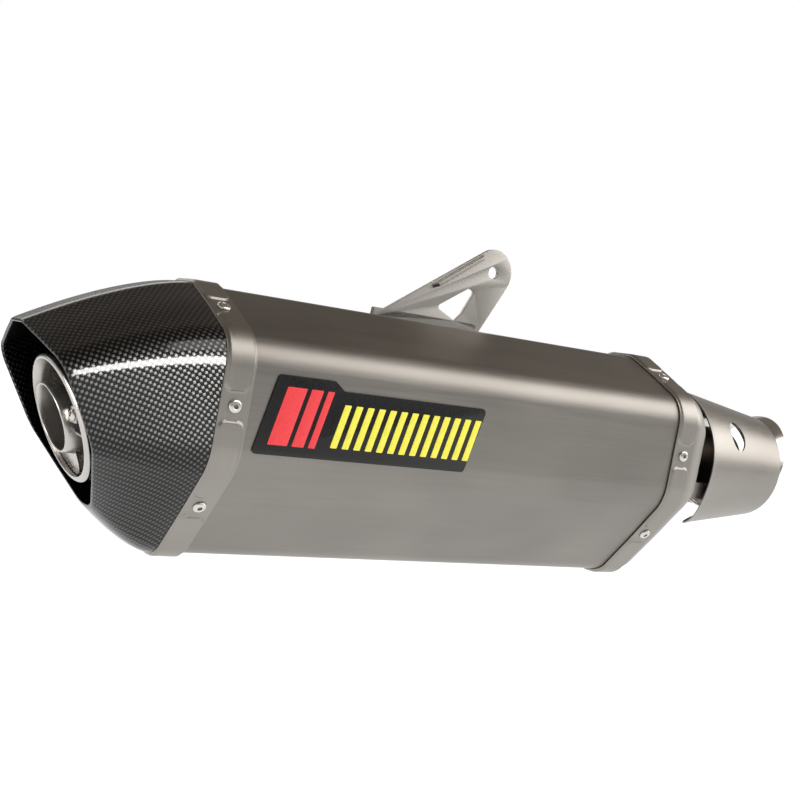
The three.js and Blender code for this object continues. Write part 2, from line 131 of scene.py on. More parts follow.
def rounded_loop(corners, radii, arc_steps=6, side_steps=1, crown=0.0):
    """A polygon with rounded corners, as points and the direction from each arc's centre.

    Corner i becomes centre + r (cos a, sin a), where the centre lies on the corner's bisector, r / sin(half the
    corner's angle) away. A side is straight from arc to arc, bulged outwards by crown sin^2(pi t).
    """
    corners = np.asarray(corners, float)
    radii = np.broadcast_to(np.asarray(radii, float), len(corners))
    back = unit(np.roll(corners, 1, axis=0) - corners)
    ahead = unit(np.roll(corners, -1, axis=0) - corners)
    half = np.arccos(np.clip((back * ahead).sum(axis=1), -1.0, 1.0)) / 2
    reach = (radii / np.tan(half))[:, None]
    start, end = corners + back * reach, corners + ahead * reach
    centre = corners + unit(back + ahead) * (radii / np.sin(half))[:, None]
    first = np.arctan2(start[:, 1] - centre[:, 1], start[:, 0] - centre[:, 0])
    last = np.arctan2(end[:, 1] - centre[:, 1], end[:, 0] - centre[:, 0])
    turn = (last - first + np.pi) % (2 * np.pi) - np.pi
    angle = first[:, None] + turn[:, None] * np.linspace(0, 1, arc_steps + 1)
    out = np.stack([np.cos(angle), np.sin(angle)], axis=-1)
    arcs = centre[:, None] + radii[:, None, None] * out
    t = np.linspace(0, 1, side_steps + 1)[1:-1, None]
    bulge = np.broadcast_to(crown, len(corners))[:, None, None] * np.sin(np.pi * t) ** 2
    ends, starts = end[:, None], np.roll(start, -1, axis=0)[:, None]
    sides = ends + (starts - ends) * t + out[:, -1:] * bulge
    directions = np.broadcast_to(out[:, -1:], sides.shape)
    loop = np.concatenate([arcs, sides], axis=1).reshape(-1, 2)
    return loop, np.concatenate([out, directions], axis=1).reshape(-1, 2)


Section = namedtuple("Section", "place normal length")


def sleeve_section(arc_steps=20, side_steps=16):
    """The sleeve's outline in (y, z), closed, from the top centre down the +Y side and back up the -Y side.

    The half outline's four corners are mirrored in y = 0 and rounded as rounded_loop() says.
    """
    half = np.array([(11.6, 80.0), (68.7, 51.0), (64.5, -18.0), (11.0, -80.0)])
    radii = np.array([12.0, 23.0, 32.0, 20.0])
    corners = np.concatenate([half, half[::-1] * (-1, 1)])
    crown = np.array([0.35, 0.0, 0.35, 0.0, 0.35, 0.0, 0.35, 0.0])
    place, normal = rounded_loop(corners, np.concatenate([radii, radii[::-1]]), arc_steps, side_steps, crown)
    shift = side_steps // 2
    place, normal = np.roll(place, shift, axis=0), np.roll(normal, shift, axis=0)
    place, normal = np.concatenate([place, place[:1]]), np.concatenate([normal, normal[:1]])
    steps = np.linalg.norm(np.diff(place, axis=0), axis=1)
    return Section(place, normal, np.concatenate([[0.0], np.cumsum(steps)]))


SECTION = sleeve_section()


def resampled(section, stations):
    """The same outline with its stations at equal steps of length."""
    length = np.linspace(0, section.length[-1], stations + 1)

    def along(values):
        return np.stack([np.interp(length, section.length, column) for column in values.T], axis=-1)

    return Section(along(section.place), unit(along(section.normal)), length)


def around(x, depth, section=SECTION):
    """Rows of points round the sleeve's outline: row k lies at x[k], depth[k] inside the outline.

    Point = (x, outline - depth * normal). depth may also be an array of rows and stations.
    """
    x = np.atleast_1d(np.asarray(x, float))
    depth = np.asarray(depth, float)
    depth = depth[:, None] if depth.ndim < 2 else depth
    flat = section.place[None] - section.normal[None] * depth[..., None]
    return np.concatenate([np.broadcast_to(x[:, None, None], flat.shape[:2] + (1,)), flat], axis=-1)


def revolved(profile, z, segments=96):
    """A profile of (x, radius) carried round the axis (y = 0, z): (x, r cos a, z + r sin a)."""
    profile = np.asarray(profile, float)
    angle = np.linspace(0, 2 * np.pi, segments + 1)
    x = np.broadcast_to(profile[:, :1], (len(profile), segments + 1))
    r = profile[:, 1:]
    return np.stack([x, r * np.cos(angle), z + r * np.sin(angle)], axis=-1)


def closed(loop):
    """A loop with its first point repeated at its end."""
    return np.concatenate([loop, loop[:1]])


def turned_to(points, place, direction):
    """Points made about the X axis, turned so that X points along a direction, and moved to a place."""
    out = unit(np.asarray(direction, float))
    side = unit(np.cross(out, (0.0, 0.3, 1.0) if abs(out[2]) < 0.9 else (1.0, 0.0, 0.0)))
    return points @ np.stack([out, side, np.cross(out, side)]) + np.asarray(place, float)


def swept(path, radius, segments=12):
    """A round bead along a path: path + r (cos a * side + sin a * up), with side and up square to the path."""
    path = np.asarray(path, float)
    forward = unit(np.gradient(path, axis=0))
    side = unit(np.cross(forward, (0.0, 0.29, 0.957)))
    up = np.cross(side, forward)
    angle = np.linspace(0, 2 * np.pi, segments + 1)[:, None]
    r = np.broadcast_to(radius, len(path))[:, None, None]
    return path[:, None] + r * (np.cos(angle) * side[:, None] + np.sin(angle) * up[:, None])


# ---------- meshes ----------

MERGE_DISTANCE = 2e-6       # metres; points nearer than this are one point


def grid_quads(points):
    """The corner numbers of the quad in each cell of a sheet of points, cell by cell."""
    rows, columns = points.shape[:2]
    index = np.arange(rows * columns).reshape(rows, columns)
    corners = (index[:-1, :-1], index[:-1, 1:], index[1:, 1:], index[1:, :-1])
    return np.stack(corners, axis=-1).reshape(-1, 4)


def skin(name, sheets, material, body, nodes=(), sharp=35.0, fill_ends=False):
    """One piece from sheets of points in mm, each an array of (rows, columns, 3), with a quad in each cell.

    A sheet may be a pair (points, uv). Coincident points at seams and poles are merged, then all faces are
    turned outwards.
    """
    places, faces, maps, first = [], [], [], 0
    for sheet in sheets:
        points, uv = sheet if isinstance(sheet, tuple) else (sheet, sheet[..., :2] * MM)
        quads = grid_quads(points)
        places.append(points.reshape(-1, 3))
        maps.append(uv.reshape(-1, 2)[quads].reshape(-1, 2))
        faces.append(quads + first)
        first += len(places[-1])
    mesh = bpy.data.meshes.new(name)
    mesh.from_pydata(np.concatenate(places) * MM + ORIGIN, [], np.concatenate(faces))
    layer = mesh.uv_layers.new(name="UVMap")
    layer.data.foreach_set("uv", np.concatenate(maps).astype(np.float32).ravel())
    return finish_piece(mesh, material, body, nodes, sharp, fill_ends)


def finish_piece(mesh, material, body, nodes=(), sharp=35.0, fill_ends=False):
    """Merges doubles, closes open ends where asked, turns faces outwards, and hangs the piece on its body."""
    work = bmesh.new()
    work.from_mesh(mesh)
    bmesh.ops.remove_doubles(work, verts=work.verts, dist=MERGE_DISTANCE)
    bmesh.ops.dissolve_degenerate(work, edges=work.edges, dist=MERGE_DISTANCE / 20)
    if fill_ends:
        bmesh.ops.holes_fill(work, edges=[edge for edge in work.edges if edge.is_boundary])
    bmesh.ops.recalc_face_normals(work, faces=work.faces)
    work.to_mesh(mesh)
    work.free()
    mesh.shade_smooth()
    mesh.set_sharp_from_angle(angle=math.radians(sharp))
    mesh.materials.clear()
    mesh.materials.append(material)
    piece = bpy.data.objects.new(mesh.name, mesh)
    bpy.context.scene.collection.objects.link(piece)
    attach(piece, body)
    if nodes:
        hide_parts(*nodes)
    return piece


def flat_plate(name, outlines, thickness, bevel, place):
    """A mesh plate from closed outlines, the first outside and the rest holes, with bevelled edges.

    place turns the outlines' own plane, in mm, into the silencer's axes.
    """
    curve = bpy.data.curves.new(name, "CURVE")
    curve.dimensions = "2D"
    curve.fill_mode = "BOTH"
    curve.extrude = thickness / 2 - bevel
    curve.bevel_depth = bevel
    curve.bevel_resolution = 2
    curve.offset = -bevel
    for outline in outlines:
        spline = curve.splines.new("POLY")
        spline.points.add(len(outline) - 1)
        padded = np.concatenate([outline, np.zeros((len(outline), 1)), np.ones((len(outline), 1))], axis=1)
        spline.points.foreach_set("co", padded.astype(np.float32).ravel())
        spline.use_cyclic_u = True
    holder = bpy.data.objects.new(name + "_outline", curve)
    mesh = bpy.data.meshes.new_from_object(holder)
    bpy.data.objects.remove(holder)
    bpy.data.curves.remove(curve)
    mesh.name = name
    scale = Matrix.Diagonal((MM, MM, MM, 1.0))
    mesh.transform(Matrix.Translation(Vector(ORIGIN)) @ scale @ place)
    return mesh


def joined(meshes, name):
    """Several meshes made one."""
    work = bmesh.new()
    for mesh in meshes:
        work.from_mesh(mesh)
    whole = bpy.data.meshes.new(name)
    work.to_mesh(whole)
    work.free()
    return whole


def sheet_mesh(name, points):
    """A bare mesh from one sheet of points in mm, its open ends closed, to be joined to others or cut out."""
    mesh = bpy.data.meshes.new(name)
    mesh.from_pydata(points.reshape(-1, 3) * MM + ORIGIN, [], grid_quads(points))
    work = bmesh.new()
    work.from_mesh(mesh)
    bmesh.ops.remove_doubles(work, verts=work.verts, dist=MERGE_DISTANCE)
    bmesh.ops.holes_fill(work, edges=[edge for edge in work.edges if edge.is_boundary])
    bmesh.ops.recalc_face_normals(work, faces=work.faces)
    work.to_mesh(mesh)
    work.free()
    return mesh


def cut_out(piece, cutter_mesh):
    """Cuts a closed mesh out of a piece."""
    cutter = bpy.data.objects.new("cutter", cutter_mesh)
    bpy.context.scene.collection.objects.link(cutter)
    modifier = piece.modifiers.new("cut", "BOOLEAN")
    modifier.operation = "DIFFERENCE"
    modifier.solver = "EXACT"
    modifier.object = cutter
    bpy.context.view_layer.update()
    result = bpy.data.meshes.new_from_object(piece.evaluated_get(bpy.context.evaluated_depsgraph_get()))
    piece.modifiers.remove(modifier)
    old = piece.data
    piece.data = result
    result.name = piece.name
    bpy.data.meshes.remove(old)
    bpy.data.objects.remove(cutter)
    bpy.data.meshes.remove(cutter_mesh)
    result.set_sharp_from_angle(angle=math.radians(35.0))


# ---------- materials ----------

def linear(hex_colour):
    """An sRGB hex colour as linear RGBA."""
    values = [int(hex_colour[i:i + 2], 16) / 255 for i in (1, 3, 5)]
    return tuple(v / 12.92 if v <= 0.04045 else ((v + 0.055) / 1.055) ** 2.4 for v in values) + (1.0,)


def add_node(tree, kind, inputs=None, **settings):
    """Adds a node with its settings; each input gets a value, or a link where a socket is given."""
    made = tree.nodes.new(kind)
    for key, value in settings.items():
        setattr(made, key, value)
    for key, value in (inputs or {}).items():
        if isinstance(value, bpy.types.NodeSocket):
            tree.links.new(value, made.inputs[key])
        else:
            made.inputs[key].default_value = value
    return made


def new_material(name):
    """An empty node material and its tree."""
    material = bpy.data.materials.new(name)
    material.use_nodes = True
    material.node_tree.nodes.clear()
    return material, material.node_tree


def set_surface(tree, **inputs):
    """The shader that ends a material; words in a socket's name are joined by underscores."""
    named = {key.replace("_", " "): value for key, value in inputs.items()}
    shader = add_node(tree, "ShaderNodeBsdfPrincipled", named)
    add_node(tree, "ShaderNodeOutputMaterial", {"Surface": shader.outputs["BSDF"]})
    return shader


def grain(tree, scale, size, detail=3.0, offset=(0.0, 0.0, 0.0)):
    """Noise on the object's own coordinates, stretched by scale, with features of a size in metres."""
    coordinates = add_node(tree, "ShaderNodeTexCoord").outputs["Object"]
    mapped = add_node(tree, "ShaderNodeMapping", {"Vector": coordinates, "Scale": scale, "Location": offset})
    noise = add_node(tree, "ShaderNodeTexNoise", {
        "Vector": mapped.outputs["Vector"], "Scale": 1.0 / size, "Detail": detail, "Roughness": 0.55,
    })
    return noise.outputs["Fac"]


def ramp(tree, value, low, high, at=(0.3, 0.7)):
    """Colours from low to high as the value goes between two stops."""
    made = add_node(tree, "ShaderNodeValToRGB", {"Fac": value})
    made.color_ramp.elements[0].position, made.color_ramp.elements[1].position = at
    made.color_ramp.elements[0].color, made.color_ramp.elements[1].color = low, high
    return made.outputs["Color"]


def spread(tree, value, low, high):
    """The value's middle half stretched to run from low to high."""
    return add_node(tree, "ShaderNodeMapRange", {
        "Value": value, "From Min": 0.3, "From Max": 0.7, "To Min": low, "To Max": high,
    }).outputs["Result"]


def bumped(tree, height, distance, strength=1.0):
    """A normal tilted by a height map that is distance metres deep."""
    return add_node(tree, "ShaderNodeBump", {
        "Height": height, "Distance": distance, "Strength": strength,
    }).outputs["Normal"]


def brushed_metal(name, dark, light, roughness, streak=(0.02, 1.0, 1.0), size=0.0012, depth=0.000004):
    """Metal finished with a fine belt: long faint streaks, and slow cloudy changes of tone from rolling."""
    material, tree = new_material(name)
    cloud = grain(tree, (0.6, 1.0, 1.0), 0.09, detail=2.0)
    streaks = grain(tree, streak, size, detail=2.0)
    tone = add_node(tree, "ShaderNodeMix", {
        "Factor": 0.25, "A": cloud, "B": streaks,
    }, data_type="FLOAT").outputs["Result"]
    set_surface(
        tree,
        Base_Color=ramp(tree, tone, linear(dark), linear(light), at=(0.32, 0.68)),
        Metallic=1.0,
        Roughness=spread(tree, streaks, roughness - 0.03, roughness + 0.04),
        Normal=bumped(tree, streaks, depth),
    )
    return material


def carbon_weave(tow):
    """Plain-weave carbon cloth under clear coat.

    The cells of the UV map are one tow wide. In every other cell the tow runs across, and it throws its light
    another way, so it looks bright beside its black neighbours. Each tow is a little pillow. The coat on top is
    smooth and glossy and doesn't follow the weave.
    """
    material, tree = new_material("Carbon fibre plain weave, clear coated")
    uv = add_node(tree, "ShaderNodeUVMap", uv_map="UVMap").outputs["UV"]
    wobble = add_node(tree, "ShaderNodeTexNoise", {"Vector": uv, "Scale": 60.0, "Detail": 1.0})
    shift = add_node(tree, "ShaderNodeVectorMath", {
        0: wobble.outputs["Color"], 1: (0.0004, 0.0004, 0.0),
    }, operation="MULTIPLY").outputs["Vector"]
    moved = add_node(tree, "ShaderNodeVectorMath", {0: uv, 1: shift}, operation="ADD").outputs["Vector"]
    cells = add_node(tree, "ShaderNodeMapping", {
        "Vector": moved, "Scale": (1 / tow, 1 / tow, 1.0), "Location": (0.0, 0.0, 0.5),
    }).outputs["Vector"]
    parity = add_node(tree, "ShaderNodeTexChecker", {"Vector": cells, "Scale": 1.0}).outputs["Fac"]
    parts = add_node(tree, "ShaderNodeSeparateXYZ", {"Vector": cells})
    domes = []
    for axis in "XY":
        angle = add_node(tree, "ShaderNodeMath", {0: parts.outputs[axis], 1: math.pi}, operation="MULTIPLY")
        wave = add_node(tree, "ShaderNodeMath", {0: angle.outputs[0]}, operation="SINE")
        domes.append(add_node(tree, "ShaderNodeMath", {0: wave.outputs[0]}, operation="ABSOLUTE").outputs[0])
    pillow = add_node(tree, "ShaderNodeMath", {0: domes[0], 1: domes[1]}, operation="MULTIPLY").outputs[0]
    soft = add_node(tree, "ShaderNodeMath", {0: pillow, 1: 0.6}, operation="POWER").outputs[0]
    bright = ramp(tree, soft, linear("#0A0A0B"), linear("#5A5A58"), at=(0.1, 1.0))
    dark = ramp(tree, soft, linear("#020202"), linear("#0A0A0B"), at=(0.0, 1.0))
    colour = add_node(tree, "ShaderNodeMix", {
        "Factor": parity, 6: dark, 7: bright,
    }, data_type="RGBA").outputs[2]
    set_surface(
        tree,
        Base_Color=colour,
        Metallic=1.0,
        Roughness=0.4,
        Normal=bumped(tree, soft, 0.00012, 0.35),
        Coat_Weight=0.75,
        Coat_Roughness=0.12,
        Coat_IOR=1.45,
    )
    return material


def lacquer(name, colour, roughness=0.3):
    """Baked enamel on a plate: even colour, with the slight orange peel of a sprayed film, 2 mm across."""
    material, tree = new_material(name)
    peel = grain(tree, (1.0, 1.0, 1.0), 0.002, detail=1.0)
    low = tuple(0.9 * v for v in linear(colour)[:3]) + (1.0,)
    set_surface(
        tree,
        Base_Color=ramp(tree, peel, low, linear(colour)),
        Roughness=spread(tree, peel, roughness - 0.04, roughness + 0.04),
        Normal=bumped(tree, peel, 0.00001),
        IOR=1.5,
    )
    return material


def matted_fibre(name, dark, light, metallic, size):
    """Loose fibre pressed into a mat: short crossing strands, dark between them."""
    material, tree = new_material(name)
    strands = grain(tree, (0.25, 1.0, 1.0), size, detail=6.0)
    crossed = grain(tree, (1.0, 0.25, 1.0), size, detail=6.0, offset=(0.3, 0.1, 0.7))
    height = add_node(tree, "ShaderNodeMath", {0: strands, 1: crossed}, operation="MAXIMUM").outputs[0]
    set_surface(
        tree,
        Base_Color=ramp(tree, height, linear(dark), linear(light), at=(0.4, 0.65)),
        Metallic=metallic,
        Roughness=0.85,
        Normal=bumped(tree, height, size),
    )
    return material


MATERIALS = {}


def make_materials(colours):
    """Every finish of the silencer, by a short name."""
    def hex_of(value):
        srgb = [12.92 * v if v <= 0.0031308 else 1.055 * v ** (1 / 2.4) - 0.055 for v in value[:3]]
        return "#" + "".join(f"{round(255 * v):02X}" for v in srgb)

    titanium = hex_of(colours.titanium)
    MATERIALS.update({
        # Commercially pure titanium sheet, belt brushed: warm grey, satin, painted darker than the shroud's
        # copy as painted shade.
        "titanium": brushed_metal("Titanium sheet, satin brushed", "#827E79", titanium, 0.4),
        # The shroud is the same sheet, formed, in the lighter tone: its copy has none of the sleeve's painted
        # shade.
        "shroud_titanium_lighter": brushed_metal("Titanium sheet, fine brushed", "#8C8781", "#A29E98", 0.38),
        # The bracket is laser-cut stainless sheet, blasted dull.
        "bracket_steel": brushed_metal("Stainless steel sheet, blasted", "#96928D", "#A8A5A0", 0.38,
                                       streak=(1.0, 1.0, 1.0), size=0.0006),
        # The pipe at the joint is painted dark brown-black, dull: painted shade for the shadow inside the
        # shroud.
        "shade_dark_steel": brushed_metal("Stainless steel, heat-darkened", "#15110E", "#3A322C", 0.5,
                                     streak=(1.0, 0.3, 0.3), size=0.004),
        # The bands are cold pressed from the same sheet and linished a little brighter.
        "pressed_titanium": brushed_metal("Titanium sheet, pressed and linished", "#918D87", "#A29E98", 0.4,
                                          streak=(1.0, 0.06, 0.06)),
        # Stainless steel tube, polished by hand: nearly white, with soft reflections.
        "bright_steel": brushed_metal("Stainless steel, polished", "#BDB9B4", "#D6D3CE", 0.2,
                                      streak=(1.0, 0.1, 0.1), size=0.0009),
        # Drawn stainless tube, bright and smooth: no streaks to see, only a soft mirror.
        "drawn_steel": brushed_metal("Stainless steel tube, bright drawn", "#B9B5B0", "#CFCCC7", 0.27,
                                     streak=(1.0, 1.0, 1.0), size=0.02, depth=0.0),
        # Mild steel pressings inside, left as pressed.
        "dull_steel": brushed_metal("Steel, as pressed", "#77736E", "#8E8A85", 0.45),
        # Mandrel rivets of stainless steel, tumbled.
        "rivet_steel": brushed_metal("Stainless steel, tumbled", "#C9C6C2", "#E2E0DC", 0.24,
                                     streak=(1.0, 1.0, 1.0), size=0.0008, depth=0.00001),
        # Carbon cloth laid up in epoxy and clear coated: near black, with a bright spot on every other tow.
        "carbon": carbon_weave(colours.tow_width),
        # The badge is enamelled sheet: black gloss, with the colours a little duller.
        "black": lacquer("Black enamel", "#080809", 0.3),
        "red": lacquer("Red enamel", hex_of(colours.badge_red), 0.4),
        "yellow": lacquer("Yellow enamel", hex_of(colours.badge_yellow), 0.4),
        # The sound-deadening mats: crossed steel strands, and yellowish glass strands.
        "steel_wool": matted_fibre("Stainless wool", "#2E2C2A", "#97938D", 1.0, 0.0008),
        "glass_wool": matted_fibre("Glass wool", "#A89C70", "#E6DDB8", 0.0, 0.0015),
    })


# ---------- settings ----------

class SilencerSizes(PropertyGroup):
    """Sizes of details that the frame leaves open."""

    panel_height: FloatProperty(
        name="Panel height", description="How far the bands' pressed panels stand up between the rivets",
        default=1.3 * MM, min=0.0, max=3 * MM, unit="LENGTH", precision=5)
    panel_margin: FloatProperty(
        name="Panel margin", description="Flat band left on each side of a rivet",
        default=8.0 * MM, min=5 * MM, max=15 * MM, unit="LENGTH", precision=5)
    rivet_radius: FloatProperty(
        name="Rivet radius", description="Radius of a rivet's domed head",
        default=4.1 * MM, min=2 * MM, max=6 * MM, unit="LENGTH", precision=5)
    camera_lens: FloatProperty(
        name="Lens", description="Focal length of the camera in millimetres on a 36 mm sensor",
        default=58.82, min=10.0, max=200.0)


class SilencerColours(PropertyGroup):
    """Colours and the cloth of the finishes."""

    titanium: FloatVectorProperty(
        name="Titanium", description="Lighter tone of the brushed titanium", subtype="COLOR", size=3,
        default=linear("#96928C")[:3], min=0.0, max=1.0)
    badge_red: FloatVectorProperty(
        name="Badge red", description="Red of the badge's stripes", subtype="COLOR", size=3,
        default=linear("#F03C42")[:3], min=0.0, max=1.0)
    badge_yellow: FloatVectorProperty(
        name="Badge yellow", description="Yellow of the badge's bars", subtype="COLOR", size=3,
        default=linear("#F6EE50")[:3], min=0.0, max=1.0)
    tow_width: FloatProperty(
        name="Tow width", description="Width of one tow of the carbon cloth",
        default=2.0 * MM, min=1 * MM, max=5 * MM, unit="LENGTH", precision=5)
    floor: FloatVectorProperty(
        name="Floor", description="Colour of the studio floor", subtype="COLOR", size=3,
        default=linear("#767675")[:3], min=0.0, max=1.0)


class PieceOperator:
    """What every operator here shares."""

    bl_options = {"REGISTER", "UNDO"}

    def execute(self, context):
        self.build(context.scene.silencer_sizes, context.scene.silencer_colours)
        return {"FINISHED"}


# ---------- casing ----------

def rivet_station(side, height):
    """Length along the section's outline to a height on one side; the outline falls steadily on the +Y half."""
    half = len(SECTION.length) // 2 + 1
    length = np.interp(-height, -SECTION.place[:half, 1], SECTION.length[:half])
    return length if side > 0 else SECTION.length[-1] - length


RIVETS = [(side, height) for side in (-1, 1) for height in RIVET_HEIGHTS]


def rivet_frame(side, height):
    """Where a rivet's axis crosses the outline, and the outline's normal there, both in (y, z)."""
    length = rivet_station(side, height)
    place = np.array([np.interp(length, SECTION.length, column) for column in SECTION.place.T])
    normal = np.array([np.interp(length, SECTION.length, column) for column in SECTION.normal.T])
    return place, unit(normal)


class SILENCER_OT_sleeve(PieceOperator, Operator):
    """The outer sleeve: the section's outline carried along X, with softened edges at both ends"""

    bl_idname = "silencer.sleeve"
    bl_label = "Outer sleeve"

    def build(self, sizes, colours):
        ends = (-SLEEVE_HALF, SLEEVE_FRONT)
        loop, _ = rounded_loop([(ends[0], 0), (ends[1], 0), (ends[1], SHEET), (ends[0], SHEET)], 0.3, 4, 12)
        loop = closed(loop)
        # The sleeve's titanium is painted darker than the shroud's copy of the same sheet: painted shade.
        skin("sleeve_wall", [around(loop[:, 0], loop[:, 1])], MATERIALS["titanium"], "silencer",
             ["outer_sleeve"])


def panel_relief(across, along, width, margin):
    """How far each place of a band is raised, 0 to 1: a rounded rectangle between each rivet and the next.

    With q = |place - centre| - half size + corner radius, the distance outside the rectangle is
    |max(q, 0)| + min(max(q), 0) - radius. It becomes a height through a smooth step one edge wide.
    """
    total = SECTION.length[-1]
    stops = np.sort([rivet_station(side, height) for side, height in RIVETS])
    following = np.append(stops[1:], stops[0] + total)
    radius, edge = 5.0, 1.1
    relief = np.zeros(np.broadcast(across, along).shape)
    for start, stop in zip(stops, following):
        centre, half = (start + stop) / 2, (stop - start) / 2 - margin
        offset = (along - centre + total / 2) % total - total / 2
        qx = np.abs(across - width / 2 + 0.4) - (width / 2 - 1.1) + radius
        qs = np.abs(offset) - half + radius
        outside = np.hypot(np.maximum(qx, 0), np.maximum(qs, 0)) + np.minimum(np.maximum(qx, qs), 0) - radius
        relief = np.maximum(relief, smooth_step(-outside / edge))
    return relief


class SILENCER_OT_bands(PieceOperator, Operator):
    """Both clamping bands: the outline carried over the band's width, raised in panels between the rivets"""

    bl_idname = "silencer.bands"
    bl_label = "Clamping bands"

    def build(self, sizes, colours):
        section = resampled(SECTION, 600)
        height = sizes.panel_height / MM
        for name, node, start in (
            ("rear_clamp_band", "rear_band", -SLEEVE_HALF), ("front_clamp_band", "front_band", SLEEVE_HALF),
        ):
            corners = [(0, BAND_OUT), (BAND_WIDTH, BAND_OUT), (BAND_WIDTH, -GAP), (0, -GAP)]
            loop, _ = rounded_loop(corners, [0.35, 0.35, 0.2, 0.2], 3, 34)
            loop = closed(loop)
            outer = smooth_step((-GAP - loop[:, 1]) / (SHEET * 0.6))[:, None]
            relief = panel_relief(loop[:, :1], section.length[None], BAND_WIDTH, sizes.panel_margin / MM)
            depth = loop[:, 1:] - height * relief * outer
            skin(name, [around(start + loop[:, 0], depth, section)], MATERIALS["pressed_titanium"],
                 "silencer", [node], sharp=50.0)


class SILENCER_OT_rivets(PieceOperator, Operator):
    """The twelve domed rivets: a profile of (height, radius) turned about each rivet's axis"""

    bl_idname = "silencer.rivets"
    bl_label = "Rivets"

    def build(self, sizes, colours):
        r = sizes.rivet_radius / MM
        dome = np.linspace(0, 1, 9)
        head = np.stack([0.45 + 1.35 * np.sin(dome * np.pi / 2), r - (r - 2.1) * dome ** 1.6], axis=1)
        profile = np.concatenate([
            [(-5.4, 0.0), (-5.4, 2.0), (0.0, 2.0), (0.0, r - 0.2), (0.15, r)], head,
            [(1.86, 1.75), (1.7, 1.5), (1.2, 1.4), (-2.6, 1.2), (-2.6, 0.0)],
        ])
        angle = np.linspace(0, 2 * np.pi, 41)
        x = np.broadcast_to(profile[:, :1], (len(profile), 41))
        turned = np.stack([x, profile[:, 1:] * np.cos(angle), profile[:, 1:] * np.sin(angle)], axis=-1)
        for end, x_place in (("rear", -SLEEVE_HALF + RIVET_INSET), ("front", SLEEVE_HALF + RIVET_INSET)):
            for number, (side, height) in enumerate(RIVETS, 1):
                place, normal = rivet_frame(side, height)
                seat = place + normal * (0.05 - BAND_OUT)
                points = turned_to(turned, (x_place, *seat), (0.0, *normal))
                skin(f"{end}_domed_rivet_{number}", [points], MATERIALS["rivet_steel"], "silencer",
                     [f"{end}_rivet_{number}"], sharp=40.0)


def cap_place(flat, t):
    """The end cap's loft. t goes from 0 at the band to 1 at the slanted opening, and flat is the outline there.

    With e = t^1.45, y is scaled by 1 - 0.21 e and z by 1 - 0.36 e and dropped 5.4 e; x goes straight from the
    band to the opening's plane x = -249.5 - 0.528 z.
    """
    y0, z0 = flat[..., 0], flat[..., 1]
    ease = np.clip(t, 0.0, None) ** 1.45
    rim = -249.5 - 0.528 * (z0 * 0.64 - 5.4)
    base = -SLEEVE_HALF - GAP
    y, z = y0 * (1 - 0.21 * ease), z0 * (1 - 0.36 * ease) - 5.4 * ease
    return np.stack([base + (rim - base) * t, y, z], axis=-1)


class SILENCER_OT_carbon_cap(PieceOperator, Operator):
    """The carbon end cap: the section's outline lofted to its slanted opening, turned in at a rounded rim"""

    bl_idname = "silencer.carbon_cap"
    bl_label = "Carbon end cap"

    def build(self, sizes, colours):
        outer_t = np.linspace(0, 1, 45)
        rim = np.linspace(0, np.pi, 9)[1:-1]
        wall_at_rim, outside, inside = 3.4, -0.7, 3.3
        middle, radius = outside + wall_at_rim / 2, wall_at_rim / 2
        length = 66.0
        t = np.concatenate([outer_t, 1 + 0.8 * radius * np.sin(rim) / length, outer_t[::-1]])
        inner_depth = inside + (outside + wall_at_rim - inside) * outer_t[::-1] ** 0.5
        depth = np.concatenate([np.full(len(outer_t), outside), middle - radius * np.cos(rim), inner_depth])
        flat = SECTION.place[None] - SECTION.normal[None] * depth[:, None, None]
        loft = cap_place(flat, t[:, None] * np.ones(len(SECTION.length)))
        end = -SLEEVE_HALF + BAND_WIDTH
        skirt = around(
            [-SLEEVE_HALF, end - 0.4, end, end - 0.4, -SLEEVE_HALF + 0.5, -SLEEVE_HALF - 0.3],
            [inside, inside, 2.3, UNDER_SLEEVE, UNDER_SLEEVE, outside])
        points = np.concatenate([loft, skirt])
        skin("carbon_cap_shell", [(points, self.cloth(points, len(outer_t)))], MATERIALS["carbon"], "silencer",
             ["carbon_end_cap"], sharp=50.0)

    @staticmethod
    def cloth(points, rim_row):
        """UV in metres: u is the length round the section from the top, and v the length along the wall.

        u is the same on both sides, and v starts at the rim.
        """
        round_steps = np.linalg.norm(np.diff(points, axis=1), axis=2)
        u = np.concatenate([np.zeros((len(points), 1)), np.cumsum(round_steps, axis=1)], axis=1)
        u = np.minimum(u, u[:, -1:] - u)
        along_steps = np.linalg.norm(np.diff(points, axis=0), axis=2)
        v = np.concatenate([np.zeros((1, points.shape[1])), np.cumsum(along_steps, axis=0)])
        return np.stack([u, v - v[rim_row]], axis=-1) * MM


def front_cap_rows(x, depth):
    """Rows of the front cap: as around(), but drawn in towards the free end.

    With e = ((x - 199.3) / 19.7)^1.6, y is scaled by 1 - 0.13 e and z by 1 - 0.2 e.
    """
    rows = around(x, depth)
    start = SLEEVE_FRONT + GAP
    share = np.clip((rows[..., 0] - start) / (FRONT_CAP_END - start), 0.0, None) ** 1.6
    rows = rows.copy()
    rows[..., 1] *= 1 - 0.13 * share
    rows[..., 2] *= 1 - 0.2 * share
    return rows


